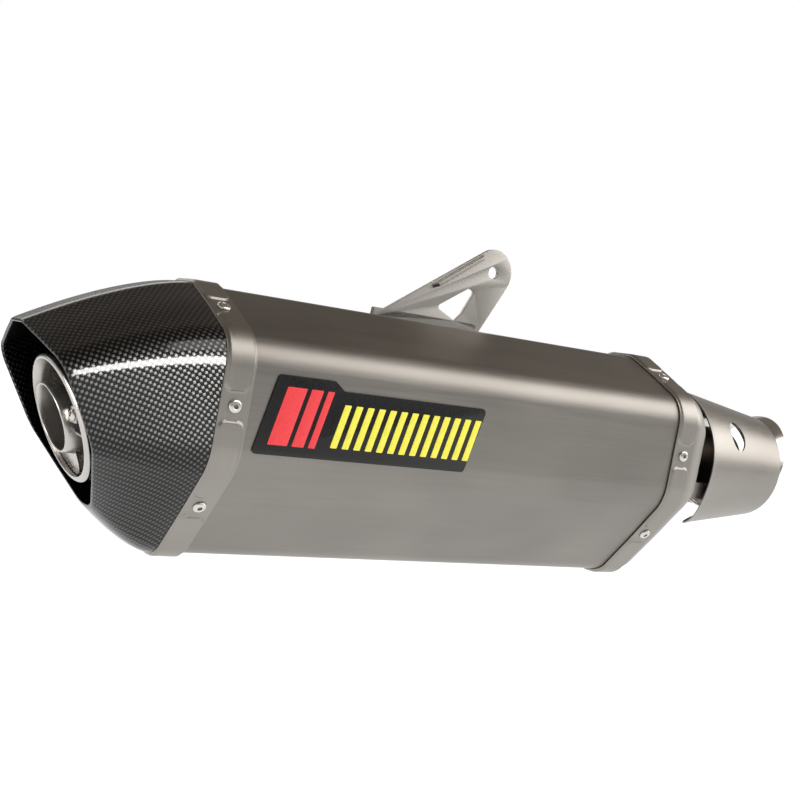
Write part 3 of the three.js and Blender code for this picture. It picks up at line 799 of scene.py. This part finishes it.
class SILENCER_OT_front_cap(PieceOperator, Operator):
    """The front cap: a cone that draws in the section, a rounded rim, and a dished face set back inside"""

    bl_idname = "silencer.front_cap"
    bl_label = "Front cap"

    def build(self, sizes, colours):
        start, end, face, inside, hole_r = SLEEVE_FRONT + GAP, FRONT_CAP_END, 212.0, 2.5, 27.8
        outer = np.linspace(start, end - 1.0, 16)
        rim = np.linspace(0, np.pi, 7)[1:-1]
        rows = [
            front_cap_rows(outer, np.full(len(outer), -GAP)),
            front_cap_rows(end - 1 + np.sin(rim), 0.5 - 0.8 * np.cos(rim)),
            front_cap_rows(np.linspace(end - 1, face + 2, 5), np.full(5, 1.3)),
        ]
        edge = rows[-1][-1]
        angle = np.arctan2(edge[:, 2] - INLET_Z, edge[:, 1])
        hole_y, hole_z = hole_r * np.cos(angle), INLET_Z + hole_r * np.sin(angle)
        hole = np.stack([np.full(len(edge), face + 2), hole_y, hole_z], axis=-1)
        t = np.linspace(0, 1, 14)[1:, None, None]
        dish = np.array([-2.2, 0.0, 0.0]) * np.sin(np.pi * t) ** 2
        front = edge + (hole - edge) * t + dish
        back = front[::-1] - np.array([1.4, 0.0, 0.0])
        rows += [front, back]
        rows.append(front_cap_rows(np.linspace(face, start, 5), np.full(5, inside)))
        rows.append(around([SLEEVE_HALF + 1.2, SLEEVE_HALF + 1, SLEEVE_HALF + 1.2, SLEEVE_FRONT, start],
                           [inside, 1.9, UNDER_SLEEVE, UNDER_SLEEVE, -GAP]))
        skin("front_cap_shell", [np.concatenate(rows)], MATERIALS["pressed_titanium"], "silencer",
             ["front_cap"], sharp=40.0)


# ---------- outlet ----------

def slanted(points, start, end):
    """Tilts a tube's far end: x += t * slope * (z - axis), with t from 0 at start to 1 at end."""
    points = points.copy()
    t = (start - points[..., 0]) / (start - end)
    points[..., 0] += t * OUTLET_SLOPE * (points[..., 2] - OUTLET_Z)
    return points


class SILENCER_OT_outlet(PieceOperator, Operator):
    """The outlet tube with its rolled lip, and the lug inside it that takes the damper's screw"""

    bl_idname = "silencer.outlet"
    bl_label = "Outlet tube"

    def build(self, sizes, colours):
        bore, outer, lip_r, x = 31.9, 33.5, 2.5, OUTLET_X
        turn = np.linspace(-0.5 * np.pi, 0.85 * np.pi, 22)
        lip = np.stack([x + lip_r - lip_r * np.cos(turn), outer - 0.75 + lip_r * np.sin(turn)], axis=1)
        lip = lip[lip[:, 1] > bore + 0.05]
        profile = np.concatenate([
            [(OUTLET_START, bore), (x + 6, bore), (x + 2.4, bore)],
            lip,
            [(x + 5.0, outer), (x + 12, outer), (OUTLET_START, outer)],
        ])
        tube = slanted(revolved(closed(profile), OUTLET_Z), OUTLET_START, x)
        skin("outlet_spout", [tube], MATERIALS["drawn_steel"], "silencer", ["outlet_tube"],
             sharp=40.0)
        drilled_block("outlet_screw_lug", "outlet_lug", "silencer", TAB_X + 4.2, 6.0, (BLOCK_OUT, -24.0), 8.0)


def drilled_block(name, node, body, x, length, across, height):
    """A small block with rounded corners and a hole along X: its outline carried from the hole to the edge."""
    (low, high), half = across, height / 2
    corners = [(low, SCREW_Z - half), (high, SCREW_Z - half), (high, SCREW_Z + half), (low, SCREW_Z + half)]
    outline, _ = rounded_loop(corners, 0.8, 6, 6)
    outline = closed(outline)
    middle = np.array([SCREW_Y, SCREW_Z])
    hole = middle + SCREW_HOLE_R * unit(outline - middle)
    soft = middle + (outline - middle) * 0.93
    ends = ((hole, 0.0), (soft, 0.0), (outline, 0.35), (outline, length - 0.35), (soft, length), (hole, length),
            (hole, 0.0))
    rear = x - length / 2
    rows = [np.concatenate([np.full((len(flat), 1), rear + along), flat], axis=1) for flat, along in ends]
    skin(name, [np.stack(rows)], MATERIALS["drawn_steel"], body, [node], sharp=35.0)


class SILENCER_OT_damper(PieceOperator, Operator):
    """The noise damper that slides out of the outlet: its tube, plate, cover, web, tab and screw"""

    bl_idname = "silencer.damper"
    bl_label = "Noise damper"

    def build(self, sizes, colours):
        inner, outer = DAMPER_R - 1.2, DAMPER_R
        turn = np.linspace(0, np.pi, 9)
        rim = np.stack([DAMPER_X + 0.6 - 0.6 * np.sin(turn), (inner + outer) / 2 - 0.6 * np.cos(turn)], axis=1)
        profile = np.concatenate([[(DAMPER_END, inner), (DAMPER_X + 3, inner)], rim,
                                  [(DAMPER_X + 3, outer), (DAMPER_END, outer)]])
        tube = slanted(revolved(closed(profile), OUTLET_Z), DAMPER_END, DAMPER_X)
        skin("damper_inner_tube", [tube], MATERIALS["drawn_steel"], "damper", ["damper_tube"],
             sharp=40.0)
        self.plate()
        self.web()
        drilled_block("damper_screw_tab", "damper_tab", "damper", TAB_X, 1.6, (BLOCK_OUT, -DAMPER_R - GAP), 9.0)
        self.screw()

    def web(self):
        """The cover that closes the lower far side near the lip, and a radial web on the near side.

        The cover is a sector: radius r0 + (r1 - r0) t over an angle range, slanted as the lip is. The web is a
        flat strip from the tube to the outlet's bore.
        """
        inner, innermost, outermost, sheet = DAMPER_R + 0.2, DAMPER_R + 0.3, 31.2, 1.2
        angle = np.linspace(math.radians(-112), math.radians(38), 60)
        t = np.concatenate([np.linspace(0, 1, 6), np.linspace(1, 0, 6), [0.0]])[:, None]
        swell = smooth_step((angle - angle[0]) / 0.5) ** 0.5 * smooth_step((angle[-1] - angle) / 0.9) ** 0.5
        edge = innermost + (outermost - innermost) * swell
        r = inner + (edge - inner) * t
        thick = np.concatenate([np.zeros(6), np.full(6, sheet), [0.0]])[:, None]
        z = r * np.sin(angle)
        x = OUTLET_X + 2.6 + thick + OUTLET_SLOPE * z + 1.2 * (r - inner) / 12.0
        cover = np.stack([x, r * np.cos(angle), OUTLET_Z + z], axis=-1)
        skin("damper_lower_cover", [cover], MATERIALS["drawn_steel"], "damper", fill_ends=True)
        strip, _ = rounded_loop([(-18.6, -13.2), (-30.9, -14.4), (-30.9, -13.0), (-18.6, -11.8)], 0.3, 4, 2)
        strip = closed(strip)
        along = np.array([0.0, 0.4, 26.0, 26.4])[:, None]
        web_x = OUTLET_X + 1.6 + along + OUTLET_SLOPE * (strip[:, 1] - OUTLET_Z)
        flat = np.broadcast_to(strip, (4,) + strip.shape)
        web = np.concatenate([web_x[..., None], flat], axis=-1)
        skin("damper_side_web", [web], MATERIALS["drawn_steel"], "damper", fill_ends=True)

    def plate(self):
        """Rows from the damper tube to the rim and back: radius r0 + (r1 - r0) t, flat, notched at the lug."""
        inner, outermost, sheet = DAMPER_R + 0.3, 31.3, 1.5
        angle = np.linspace(0, 2 * np.pi, 145)
        lug = np.arctan2(SCREW_Z - OUTLET_Z, SCREW_Y)
        off = np.abs((angle - lug + np.pi) % (2 * np.pi) - np.pi)
        notch = 8.3 * smooth_step((0.36 - off) / 0.05)
        t = np.concatenate([np.linspace(0, 1, 8), np.linspace(1, 0, 8), [0.0]])
        r = inner + (outermost - notch[None] - inner) * t[:, None]
        back = np.concatenate([np.zeros(8), np.full(8, sheet), [0.0]])
        x = DAMPER_PLATE_X + back[:, None] + 0 * r
        points = np.stack([x, r * np.cos(angle), OUTLET_Z + r * np.sin(angle)], axis=-1)
        skin("damper_ring_plate", [points], MATERIALS["drawn_steel"], "damper",
             ["damper_plate"], sharp=35.0)

    def screw(self):
        """Button head with a round recess: a profile of (depth, radius) turned about X."""
        profile = np.array([
            (8.0, 0.0), (8.0, 1.7), (7.7, 2.0), (0.0, 2.0), (0.0, 3.2), (-0.5, 3.3), (-1.3, 3.05),
            (-1.95, 2.4), (-2.2, 1.5), (-2.2, 1.25), (-0.9, 1.2), (-0.9, 0.0),
        ])
        points = revolved(profile, 0.0, 36) + np.array([TAB_X - 1.1, SCREW_Y, SCREW_Z])
        skin("damper_button_screw", [points], MATERIALS["rivet_steel"], "damper",
             ["damper_screw"], sharp=35.0)


# ---------- inlet ----------

def shroud_radius(x):
    """The shroud's outside radius, falling evenly from its rear rim to its front rim."""
    return SHROUD_REAR_R + (SHROUD_FRONT_R - SHROUD_REAR_R) * (x - SHROUD_REAR) / (SHROUD_FRONT - SHROUD_REAR)


class SILENCER_OT_shroud(PieceOperator, Operator):
    """The inlet shroud, cut away below at the rear and pierced by its access hole, and its three stays

    Its rear rim lies at x = rear + 23 max(0, -sin a)^3 + 62 max(0, cos(a + 64 degrees))^12, a broad cut at the
    lowest point and a notch on the far side of it.
    """

    bl_idname = "silencer.shroud"
    bl_label = "Inlet shroud"

    def build(self, sizes, colours):
        wall, cutaway, notch_depth, notch_angle = 1.4, 23.0, 62.0, math.radians(64.0)
        span = SHROUD_FRONT - SHROUD_REAR
        loop, _ = rounded_loop([(0, 0), (span, 0), (span, wall), (0, wall)], 0.45, 4, 40)
        loop = closed(loop)
        angle = np.linspace(0, 2 * np.pi, 193)
        low = np.maximum(0.0, -np.sin(angle)) ** 3
        notch = np.maximum(0.0, np.cos(angle + notch_angle)) ** 12
        rear = SHROUD_REAR + cutaway * low + notch_depth * notch
        x = rear[None] + (SHROUD_FRONT - rear[None]) * loop[:, :1] / span
        # A small flare stiffens the rear rim.
        flare_height, flare_length = 0.5, 2.5
        flare = flare_height * smooth_step((flare_length - loop[:, :1]) / flare_length)
        r = shroud_radius(x) - loop[:, 1:] + flare
        points = np.stack([x, r * np.cos(angle), INLET_Z + r * np.sin(angle)], axis=-1)
        shell = skin("inlet_heat_shroud", [points], MATERIALS["shroud_titanium_lighter"], "silencer",
                     ["inlet_shroud"], sharp=40.0)
        self.pierce(shell)
        self.stays(wall)

    def pierce(self, shell):
        """The access hole: an ellipse carried along the wall's normal and cut out."""
        x, tilt, half_along, half_round, reach = 274.6, math.radians(30), 9.0, 12.0, 7.0
        out = np.array([0.0, -math.cos(tilt), math.sin(tilt)])
        place = out * shroud_radius(x) + (x, 0, INLET_Z)
        taper = (SHROUD_REAR_R - SHROUD_FRONT_R) / (SHROUD_FRONT - SHROUD_REAR)
        normal = unit(out + (taper, 0, 0))
        round_out = np.array([0.0, math.sin(tilt), math.cos(tilt)])
        along = unit(np.cross(round_out, normal))
        angle = np.linspace(0, 2 * np.pi, 49)[:, None]
        ring = half_along * np.cos(angle) * along + half_round * np.sin(angle) * round_out
        rows = [place + normal * height + ring for height in (-reach, reach)]
        cut_out(shell, sheet_mesh("access_hole", np.stack(rows)))

    def stays(self, wall):
        """Each stay: a strip across the gap, its radius easing from the cap's face to the shroud's wall."""
        start, end, width, sheet, start_r = 214.3, 256.0, 14.0, 1.2, 44.0
        end_r = shroud_radius(end) - wall - GAP - sheet
        profile, _ = rounded_loop([(-width / 2, 0), (width / 2, 0), (width / 2, sheet), (-width / 2, sheet)],
                                  0.4, 4, 8)
        profile = closed(profile)
        t = np.linspace(0, 1, 18)[:, None]
        ease = 0.35 * smooth_step(t) + 0.65 * t
        r = start_r + (end_r - start_r) * ease + profile[:, 1]
        turn = profile[:, 0] / end_r
        x = np.broadcast_to(start + (end - start) * t, r.shape)
        for number, degrees in enumerate((25.0, 155.0, 270.0), 1):
            angle = math.radians(degrees) + turn
            points = np.stack([x, -r * np.cos(angle), INLET_Z - r * np.sin(angle)], axis=-1)
            skin(f"shroud_gap_stay_{number}", [points], MATERIALS["titanium"], "silencer",
                 [f"shroud_stay_{number}"], fill_ends=True)


class SILENCER_OT_inlet(PieceOperator, Operator):
    """The inlet pipe and the collar that leans out of the shroud: profiles turned about the inlet's axis"""

    bl_idname = "silencer.inlet"
    bl_label = "Inlet pipe and collar"

    def build(self, sizes, colours):
        start, end, bore, r = 150.0, 300.0, 26.0, 27.5
        pipe, _ = rounded_loop([(start, bore), (end, bore), (end, r), (start, r)], 0.5, 4, 6)
        # The pipe's dark finish is painted shade: the shadow inside the shroud.
        skin("inlet_joint_pipe", [revolved(closed(pipe), INLET_Z)], MATERIALS["shade_dark_steel"], "silencer",
             ["inlet_pipe"])
        # The collar's end leans back below, and what stands out of the shroud drifts upwards.
        start, end, bore, r, lean, lift = 296.0, 337.16, 35.7, 37.7, 0.36, 0.25
        ring, _ = rounded_loop([(start, bore), (end, bore), (end, r), (start, r)], 0.9, 6, 16)
        points = revolved(closed(ring), INLET_Z)
        points[..., 0] += lean * (points[..., 2] - INLET_Z) * (points[..., 0] - start) / (end - start)
        points[..., 2] += lift * np.maximum(0.0, points[..., 0] - SHROUD_FRONT - 2)
        skin("inlet_end_collar", [points], MATERIALS["bright_steel"], "silencer",
             ["inlet_collar"])


# ---------- hanger and badge ----------

class SILENCER_OT_hanger(PieceOperator, Operator):
    """The hanger bracket: a pierced plate with a folded edge, its foot on the sleeve, and the weld along it"""

    bl_idname = "silencer.hanger"
    bl_label = "Hanger bracket"

    def build(self, sizes, colours):
        sheet, y, foot, rear, front = 3.0, 20.0, 76.3, -31.0, 57.0
        bolt_x, bolt_z, bolt_r, eye_r = 64.9, 123.7, 4.35, 16.4
        turn = np.linspace(-0.55, 2.15, 30)
        eye = np.stack([bolt_x + eye_r * np.cos(turn), bolt_z + eye_r * np.sin(turn)], axis=1)
        outline = np.concatenate([[(rear, foot), (front, foot), (60.0, 82.0), (79.0, 115.0)], eye,
                                  [(rear, foot + sheet + 1)]])
        circle = np.linspace(0, 2 * np.pi, 41)[:-1]
        bolt = np.stack([bolt_x + bolt_r * np.cos(circle), bolt_z + bolt_r * np.sin(circle)], axis=1)
        window, _ = rounded_loop([(51.0, 108.0), (46.0, 110.0), (19.5, 93.3), (37.0, 85.6), (42.5, 91.5)],
                                 [1.6, 1.6, 2.0, 2.0, 2.0], 6)
        # The plate's own plane is (x, z); its thickness runs along Y.
        upright = Matrix(((1, 0, 0, 0), (0, 0, -1, y + sheet / 2), (0, 1, 0, 0), (0, 0, 0, 1)))
        plate = flat_plate("plate", [outline, bolt, window], sheet, 0.4, upright)
        mesh = joined([plate, self.fold(), self.foot()], "hanger_plate")
        finish_piece(mesh, MATERIALS["bracket_steel"], "silencer", ["hanger_bracket"])
        self.weld()

    def fold(self):
        """A strip along the sloping edge, carried from the plate towards the near side round a small bend."""
        ends = np.array([(14.0, 107.0), (53.6, 134.0)])
        forward = unit(ends[1] - ends[0])
        square = np.array([-forward[1], forward[0]])
        near, far, sheet = 22.0, 15.0, 2.6
        corners = [(near, 0.0), (near, sheet), (far, sheet), (far, 0.0)]
        profile, _ = rounded_loop(corners, [0.1, 1.6, 0.5, 0.5], 6, 2)
        profile = closed(profile)
        t = np.linspace(0, 1, 20)[:, None]
        shrink = smooth_step(np.minimum(t, 1 - t) / 0.06)
        base = ends[0] + (ends[1] - ends[0]) * t
        depth = near + (profile[:, 0] - near) * (0.4 + 0.6 * shrink)
        lift = profile[:, 1] - 1.6
        x = base[:, :1] + square[0] * lift
        z = base[:, 1:] + square[1] * lift
        return sheet_mesh("fold", np.stack([x, depth, z], axis=-1))

    def foot(self):
        """The foot's bent profile in (y, z), carried along X."""
        slope = (80.0 - 51.0) / (68.7 - 11.6)
        profile, _ = rounded_loop([
            (20.0, 76.0), (38.0, 76.0 - 18 * slope), (38.0, 79.0 - 18 * slope), (24.5, 78.9 - 4.5 * slope),
            (23.0, 86.0), (20.0, 86.0),
        ], [0.5, 0.6, 0.6, 3.0, 0.3, 0.3], 6)
        profile = closed(profile)
        x = np.array([-31.0, -30.6, -30.0, 56.0, 56.6, 57.0])[:, None] + 0 * profile[:, 0]
        centre = profile.mean(axis=0)
        draw = np.array([0.97, 0.99, 1.0, 1.0, 0.99, 0.97])[:, None, None]
        flat = centre + (profile - centre) * draw
        return sheet_mesh("foot", np.concatenate([x[..., None], flat], axis=-1))

    def weld(self):
        """A ripple bead along the foot: radius 1.25 + 0.25 |sin 1.1 x|, closing at both ends."""
        rear, front = -30.0, 56.0
        x = np.linspace(rear, front, 260)
        path = np.stack([x, np.full(len(x), 19.4), np.full(len(x), 76.3)], axis=1)
        ends = np.sqrt(smooth_step(np.minimum(x - rear, front - x) / 2.0))
        radius = (1.25 + 0.25 * np.abs(np.sin(x * 1.1))) * ends + 1e-4
        skin("hanger_weld_bead", [swept(path, radius)], MATERIALS["rivet_steel"], "silencer")


class SILENCER_OT_badge(PieceOperator, Operator):
    """The badge: a black plate on the near side with plain red stripes and yellow bars, no lettering"""

    bl_idname = "silencer.badge"
    bl_label = "Badge"

    # Lower edge, upper edges of the longer part and of the raised part, and how far the ends lean in all.
    LOW, HIGH, TOP, LEAN = -10.5, 30.6, 36.0, 10.0

    def build(self, sizes, colours):
        corners = [(-155.5, self.LOW), (-145.5, self.TOP), (-108, self.TOP), (-100.5, self.HIGH),
                   (6.5, self.HIGH), (-3.5, self.LOW)]
        outline, _ = rounded_loop(corners, [2.5, 3.0, 3.0, 3.0, 3.0, 2.5], 8)
        plate = flat_plate("plate", [outline], 0.6, 0.15, self.on_facet(GAP + 0.3))
        finish_piece(plate, MATERIALS["black"], "silencer", ["badge_plate"]).name = "badge_backing"
        stripes = [self.stripe(left, left + width, -4.5, 29.5) for left, width in (
            (-147.5, 13.0), (-131.5, 8.0), (-120.5, 4.5))]
        bars = [self.stripe(left, left + 4.6, -3.2, 22.8) for left in np.arange(-106.0, -8.0, 8.15)]
        for name, shapes, colour in (
            ("badge_red_stripes", stripes, "red"), ("badge_yellow_bars", bars, "yellow"),
        ):
            meshes = [flat_plate("bar", [shape], 0.3, 0.05, self.on_facet(GAP + 0.6)) for shape in shapes]
            finish_piece(joined(meshes, name), MATERIALS[colour], "silencer")

    def stripe(self, left, right, low, high):
        """A parallelogram that leans as the badge's ends do."""
        lean = self.LEAN / (self.TOP - self.LOW)
        corners = [(left + lean * (low - self.LOW), low), (left + lean * (high - self.LOW), high),
                   (right + lean * (high - self.LOW), high), (right + lean * (low - self.LOW), low)]
        return rounded_loop(corners, 0.5, 4)[0]

    def on_facet(self, middle):
        """From the badge's own plane (x, height) to the near side facet, the plate's middle this far off it."""
        low_z, high_z = -6.0, 35.0
        near = SECTION.place[:, 0] < 0
        order = np.argsort(SECTION.place[near, 1])
        z, y = SECTION.place[near, 1][order], SECTION.place[near, 0][order]
        low_y, high_y = np.interp([low_z, high_z], z, y)
        up = unit(np.array([0.0, high_y - low_y, high_z - low_z]))
        out = np.cross((1.0, 0.0, 0.0), up)
        out = out if out[1] < 0 else -out
        base = np.array([0.0, low_y - up[1] / up[2] * low_z, 0.0]) + out * middle
        place = Matrix.Identity(4)
        place.col[0] = (1, 0, 0, 0)
        place.col[1] = (*(up / up[2]), 0)
        place.col[2] = (*out, 0)
        place.col[3] = (*base, 1)
        return place


# ---------- inside ----------

class SILENCER_OT_inside(PieceOperator, Operator):
    """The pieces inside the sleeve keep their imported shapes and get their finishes"""

    bl_idname = "silencer.inside"
    bl_label = "Inside pieces"

    def build(self, sizes, colours):
        finishes = {
            "rear_bulkhead": "dull_steel", "front_bulkhead": "dull_steel", "core_tube": "dull_steel",
            "steel_wool_wrap": "steel_wool", "glass_wool_packing": "glass_wool",
        }
        for node, finish in finishes.items():
            for material_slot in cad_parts[node].material_slots:
                material_slot.material = MATERIALS[finish]


# ---------- stage ----------

def aimed(name, data, place, right, up, back):
    """An object for a lamp or a camera at a place in metres, with its own three axes."""
    holder = bpy.data.objects.new(name, data)
    turned = Matrix(np.stack([right, up, back], axis=1).tolist()).to_4x4()
    holder.matrix_world = Matrix.Translation(Vector(place)) @ turned
    bpy.context.scene.collection.objects.link(holder)
    return holder


class SILENCER_OT_stage(PieceOperator, Operator):
    """The floor, the lights, the grey cards and the camera"""

    bl_idname = "silencer.stage"
    bl_label = "Stage"

    def build(self, sizes, colours):
        self.floor(colours)
        self.light()
        self.cards()
        self.camera(sizes)
        bpy.context.scene.view_settings.view_transform = "Standard"

    def floor(self, colours):
        """A wide disc just under the lowest point, pale and softly lit from below like a light table."""
        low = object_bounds()[0][2] / MM - ORIGIN[2] / MM - 0.3
        angle = np.linspace(0, 2 * np.pi, 65)
        r = np.array([0.0, 500.0, 2000.0, 12000.0])[:, None]
        points = np.stack([r * np.cos(angle), r * np.sin(angle), np.full((4, 65), low)], axis=-1)
        mesh = sheet_mesh("studio_floor", points)
        material, tree = new_material("Frosted light table")
        shade = grain(tree, (1.0, 1.0, 1.0), 0.5, detail=1.0)
        tint = tuple(colours.floor) + (1.0,)
        set_surface(
            tree,
            Base_Color=ramp(tree, shade, tuple(0.97 * v for v in tint[:3]) + (1.0,), tint),
            Roughness=0.6,
            Emission_Color=(1.0, 1.0, 1.0, 1.0),
            Emission_Strength=0.86,
        )
        mesh.materials.append(material)
        floor = bpy.data.objects.new("studio_floor", mesh)
        bpy.context.scene.collection.objects.link(floor)
        floor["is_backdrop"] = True

    def light(self):
        """A white horizon under a dim warm ceiling, with a soft box above each side and two smaller ones.

        The smaller ones light only the carbon cap and the outlet's pieces.
        """
        world = bpy.data.worlds.new("Studio")
        world.use_nodes = True
        tree = world.node_tree
        tree.nodes.clear()
        direction = add_node(tree, "ShaderNodeTexCoord").outputs["Generated"]
        height = add_node(tree, "ShaderNodeSeparateXYZ", {"Vector": direction}).outputs["Z"]
        made = add_node(tree, "ShaderNodeValToRGB", {"Fac": height})
        stops = made.color_ramp.elements
        stops[0].position, stops[0].color = 0.12, (1.0, 1.0, 1.0, 1.0)
        stops[1].position, stops[1].color = 0.5, (0.2, 0.17, 0.145, 1.0)
        soft = add_node(tree, "ShaderNodeBackground", {"Color": made.outputs["Color"], "Strength": 1.0})
        plain = add_node(tree, "ShaderNodeBackground", {"Color": (1.0, 1.0, 1.0, 1.0), "Strength": 1.0})
        seen = add_node(tree, "ShaderNodeLightPath").outputs["Is Camera Ray"]
        mixed = add_node(tree, "ShaderNodeMixShader", {
            "Fac": seen, 1: soft.outputs[0], 2: plain.outputs[0],
        })
        add_node(tree, "ShaderNodeOutputWorld", {"Surface": mixed.outputs[0]})
        bpy.context.scene.world = world
        lamps = (
            ("Near strip", (1.17, -1.13, 1.23), (3.6, 1.2), 40.0, ()),
            ("Far strip", (-0.6, 1.9, 1.2), (3.0, 0.8), 12.0, ()),
            ("Cap box", (-0.18, -0.57, 0.075), (0.5, 0.17), 9.0, ("carbon_cap_shell",)),
            ("Outlet box", (-1.15, -0.75, 0.3), (0.9, 0.9), 22.0, (
                "outlet_spout", "outlet_screw_lug", "damper_inner_tube", "damper_ring_plate",
                "damper_screw_tab", "damper_lower_cover", "damper_side_web",
            )),
        )
        cap_middle = np.array([-0.25, 0.0, 0.0])
        for name, place, size, power, only in lamps:
            lamp = bpy.data.lights.new(name, "AREA")
            lamp.shape = "RECTANGLE"
            lamp.size, lamp.size_y = size
            lamp.energy = power
            lamp.color = (1.0, 0.985, 0.965)
            back = unit(np.array(place) - (cap_middle if only else 0.0))
            side = unit(np.array([1.0, 0.0, 0.0]) - back * float(back[0]))
            holder = aimed(name, lamp, place, side, np.cross(back, side), back)
            holder.visible_camera = False
            if only:
                lit = bpy.data.collections.new("Lit by the " + name.lower())
                for piece in only:
                    lit.objects.link(bpy.data.objects[piece])
                holder.light_linking.receiver_collection = lit

    def cards(self):
        """Two grey cards, one on each side, that only reflections see.

        They darken the upright facets and the edges seen at a glance, as in a studio.
        """
        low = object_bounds()[0][2] / MM - ORIGIN[2] / MM
        for side, y, top, strength in (("near", -620.0, 130.0, 0.3), ("far", 900.0, 330.0, 0.12)):
            x = np.array([-1400.0, 2400.0])[:, None]
            z = np.array([low, top])[None]
            points = np.stack(np.broadcast_arrays(x, y, z), axis=-1)
            name = f"studio_{side}_card"
            mesh = sheet_mesh(name, points)
            material, tree = new_material(f"Grey studio card, {side}")
            shade = grain(tree, (1.0, 1.0, 1.0), 0.3, detail=1.0)
            set_surface(
                tree,
                Base_Color=ramp(tree, shade, linear("#101010"), linear("#141414")),
                Roughness=0.9,
                Emission_Color=(1.0, 0.98, 0.95, 1.0),
                Emission_Strength=strength,
            )
            mesh.materials.append(material)
            card = bpy.data.objects.new(name, mesh)
            bpy.context.scene.collection.objects.link(card)
            for seen_by in ("camera", "shadow", "diffuse", "transmission"):
                setattr(card, "visible_" + seen_by, False)
            card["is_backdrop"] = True

    def camera(self, sizes):
        """A camera on the near side of the outlet, level with it and rolled a little."""
        azimuth, elevation, roll = (math.radians(v) for v in (35.14, 1.83, 8.42))
        place = np.array([-511.918, -708.626, 54.715]) * MM + ORIGIN
        view = np.array([math.sin(azimuth) * math.cos(elevation), math.cos(azimuth) * math.cos(elevation),
                         -math.sin(elevation)])
        level = np.array([math.cos(azimuth), -math.sin(azimuth), 0.0])
        above = np.cross(level, view)
        right = math.cos(roll) * level + math.sin(roll) * above
        up = math.cos(roll) * above - math.sin(roll) * level
        camera = bpy.data.cameras.new("Camera")
        camera.lens = sizes.camera_lens
        camera.sensor_width = 36.0
        bpy.context.scene.camera = aimed("Camera", camera, place, right, up, -view)


# ---------- panel and registration ----------

STEPS = (
    SILENCER_OT_sleeve, SILENCER_OT_bands, SILENCER_OT_rivets, SILENCER_OT_carbon_cap, SILENCER_OT_front_cap,
    SILENCER_OT_outlet, SILENCER_OT_damper, SILENCER_OT_shroud, SILENCER_OT_inlet, SILENCER_OT_hanger,
    SILENCER_OT_badge, SILENCER_OT_inside, SILENCER_OT_stage,
)


class SILENCER_PT_panel(Panel):
    """The silencer's pieces and their settings"""

    bl_idname = "SILENCER_PT_panel"
    bl_label = "Racing exhaust silencer"
    bl_space_type = "VIEW_3D"
    bl_region_type = "UI"
    bl_category = "Silencer"

    def draw(self, context):
        for settings in (context.scene.silencer_sizes, context.scene.silencer_colours):
            for name in settings.__annotations__:
                self.layout.prop(settings, name)
        for step in STEPS:
            self.layout.operator(step.bl_idname)


CLASSES = (SilencerSizes, SilencerColours, *STEPS, SILENCER_PT_panel)


def register():
    """Adds the classes, and the settings to every scene."""
    for cls in CLASSES:
        bpy.utils.register_class(cls)
    bpy.types.Scene.silencer_sizes = PointerProperty(type=SilencerSizes)
    bpy.types.Scene.silencer_colours = PointerProperty(type=SilencerColours)


def unregister():
    """Takes away what register() added."""
    del bpy.types.Scene.silencer_colours
    del bpy.types.Scene.silencer_sizes
    for cls in reversed(CLASSES):
        bpy.utils.unregister_class(cls)


def main():
    """Builds every piece and the stage."""
    register()
    make_materials(bpy.context.scene.silencer_colours)
    for step in STEPS:
        group, name = step.bl_idname.split(".")
        getattr(getattr(bpy.ops, group), name)()


if __name__ == "__main__":
    main()
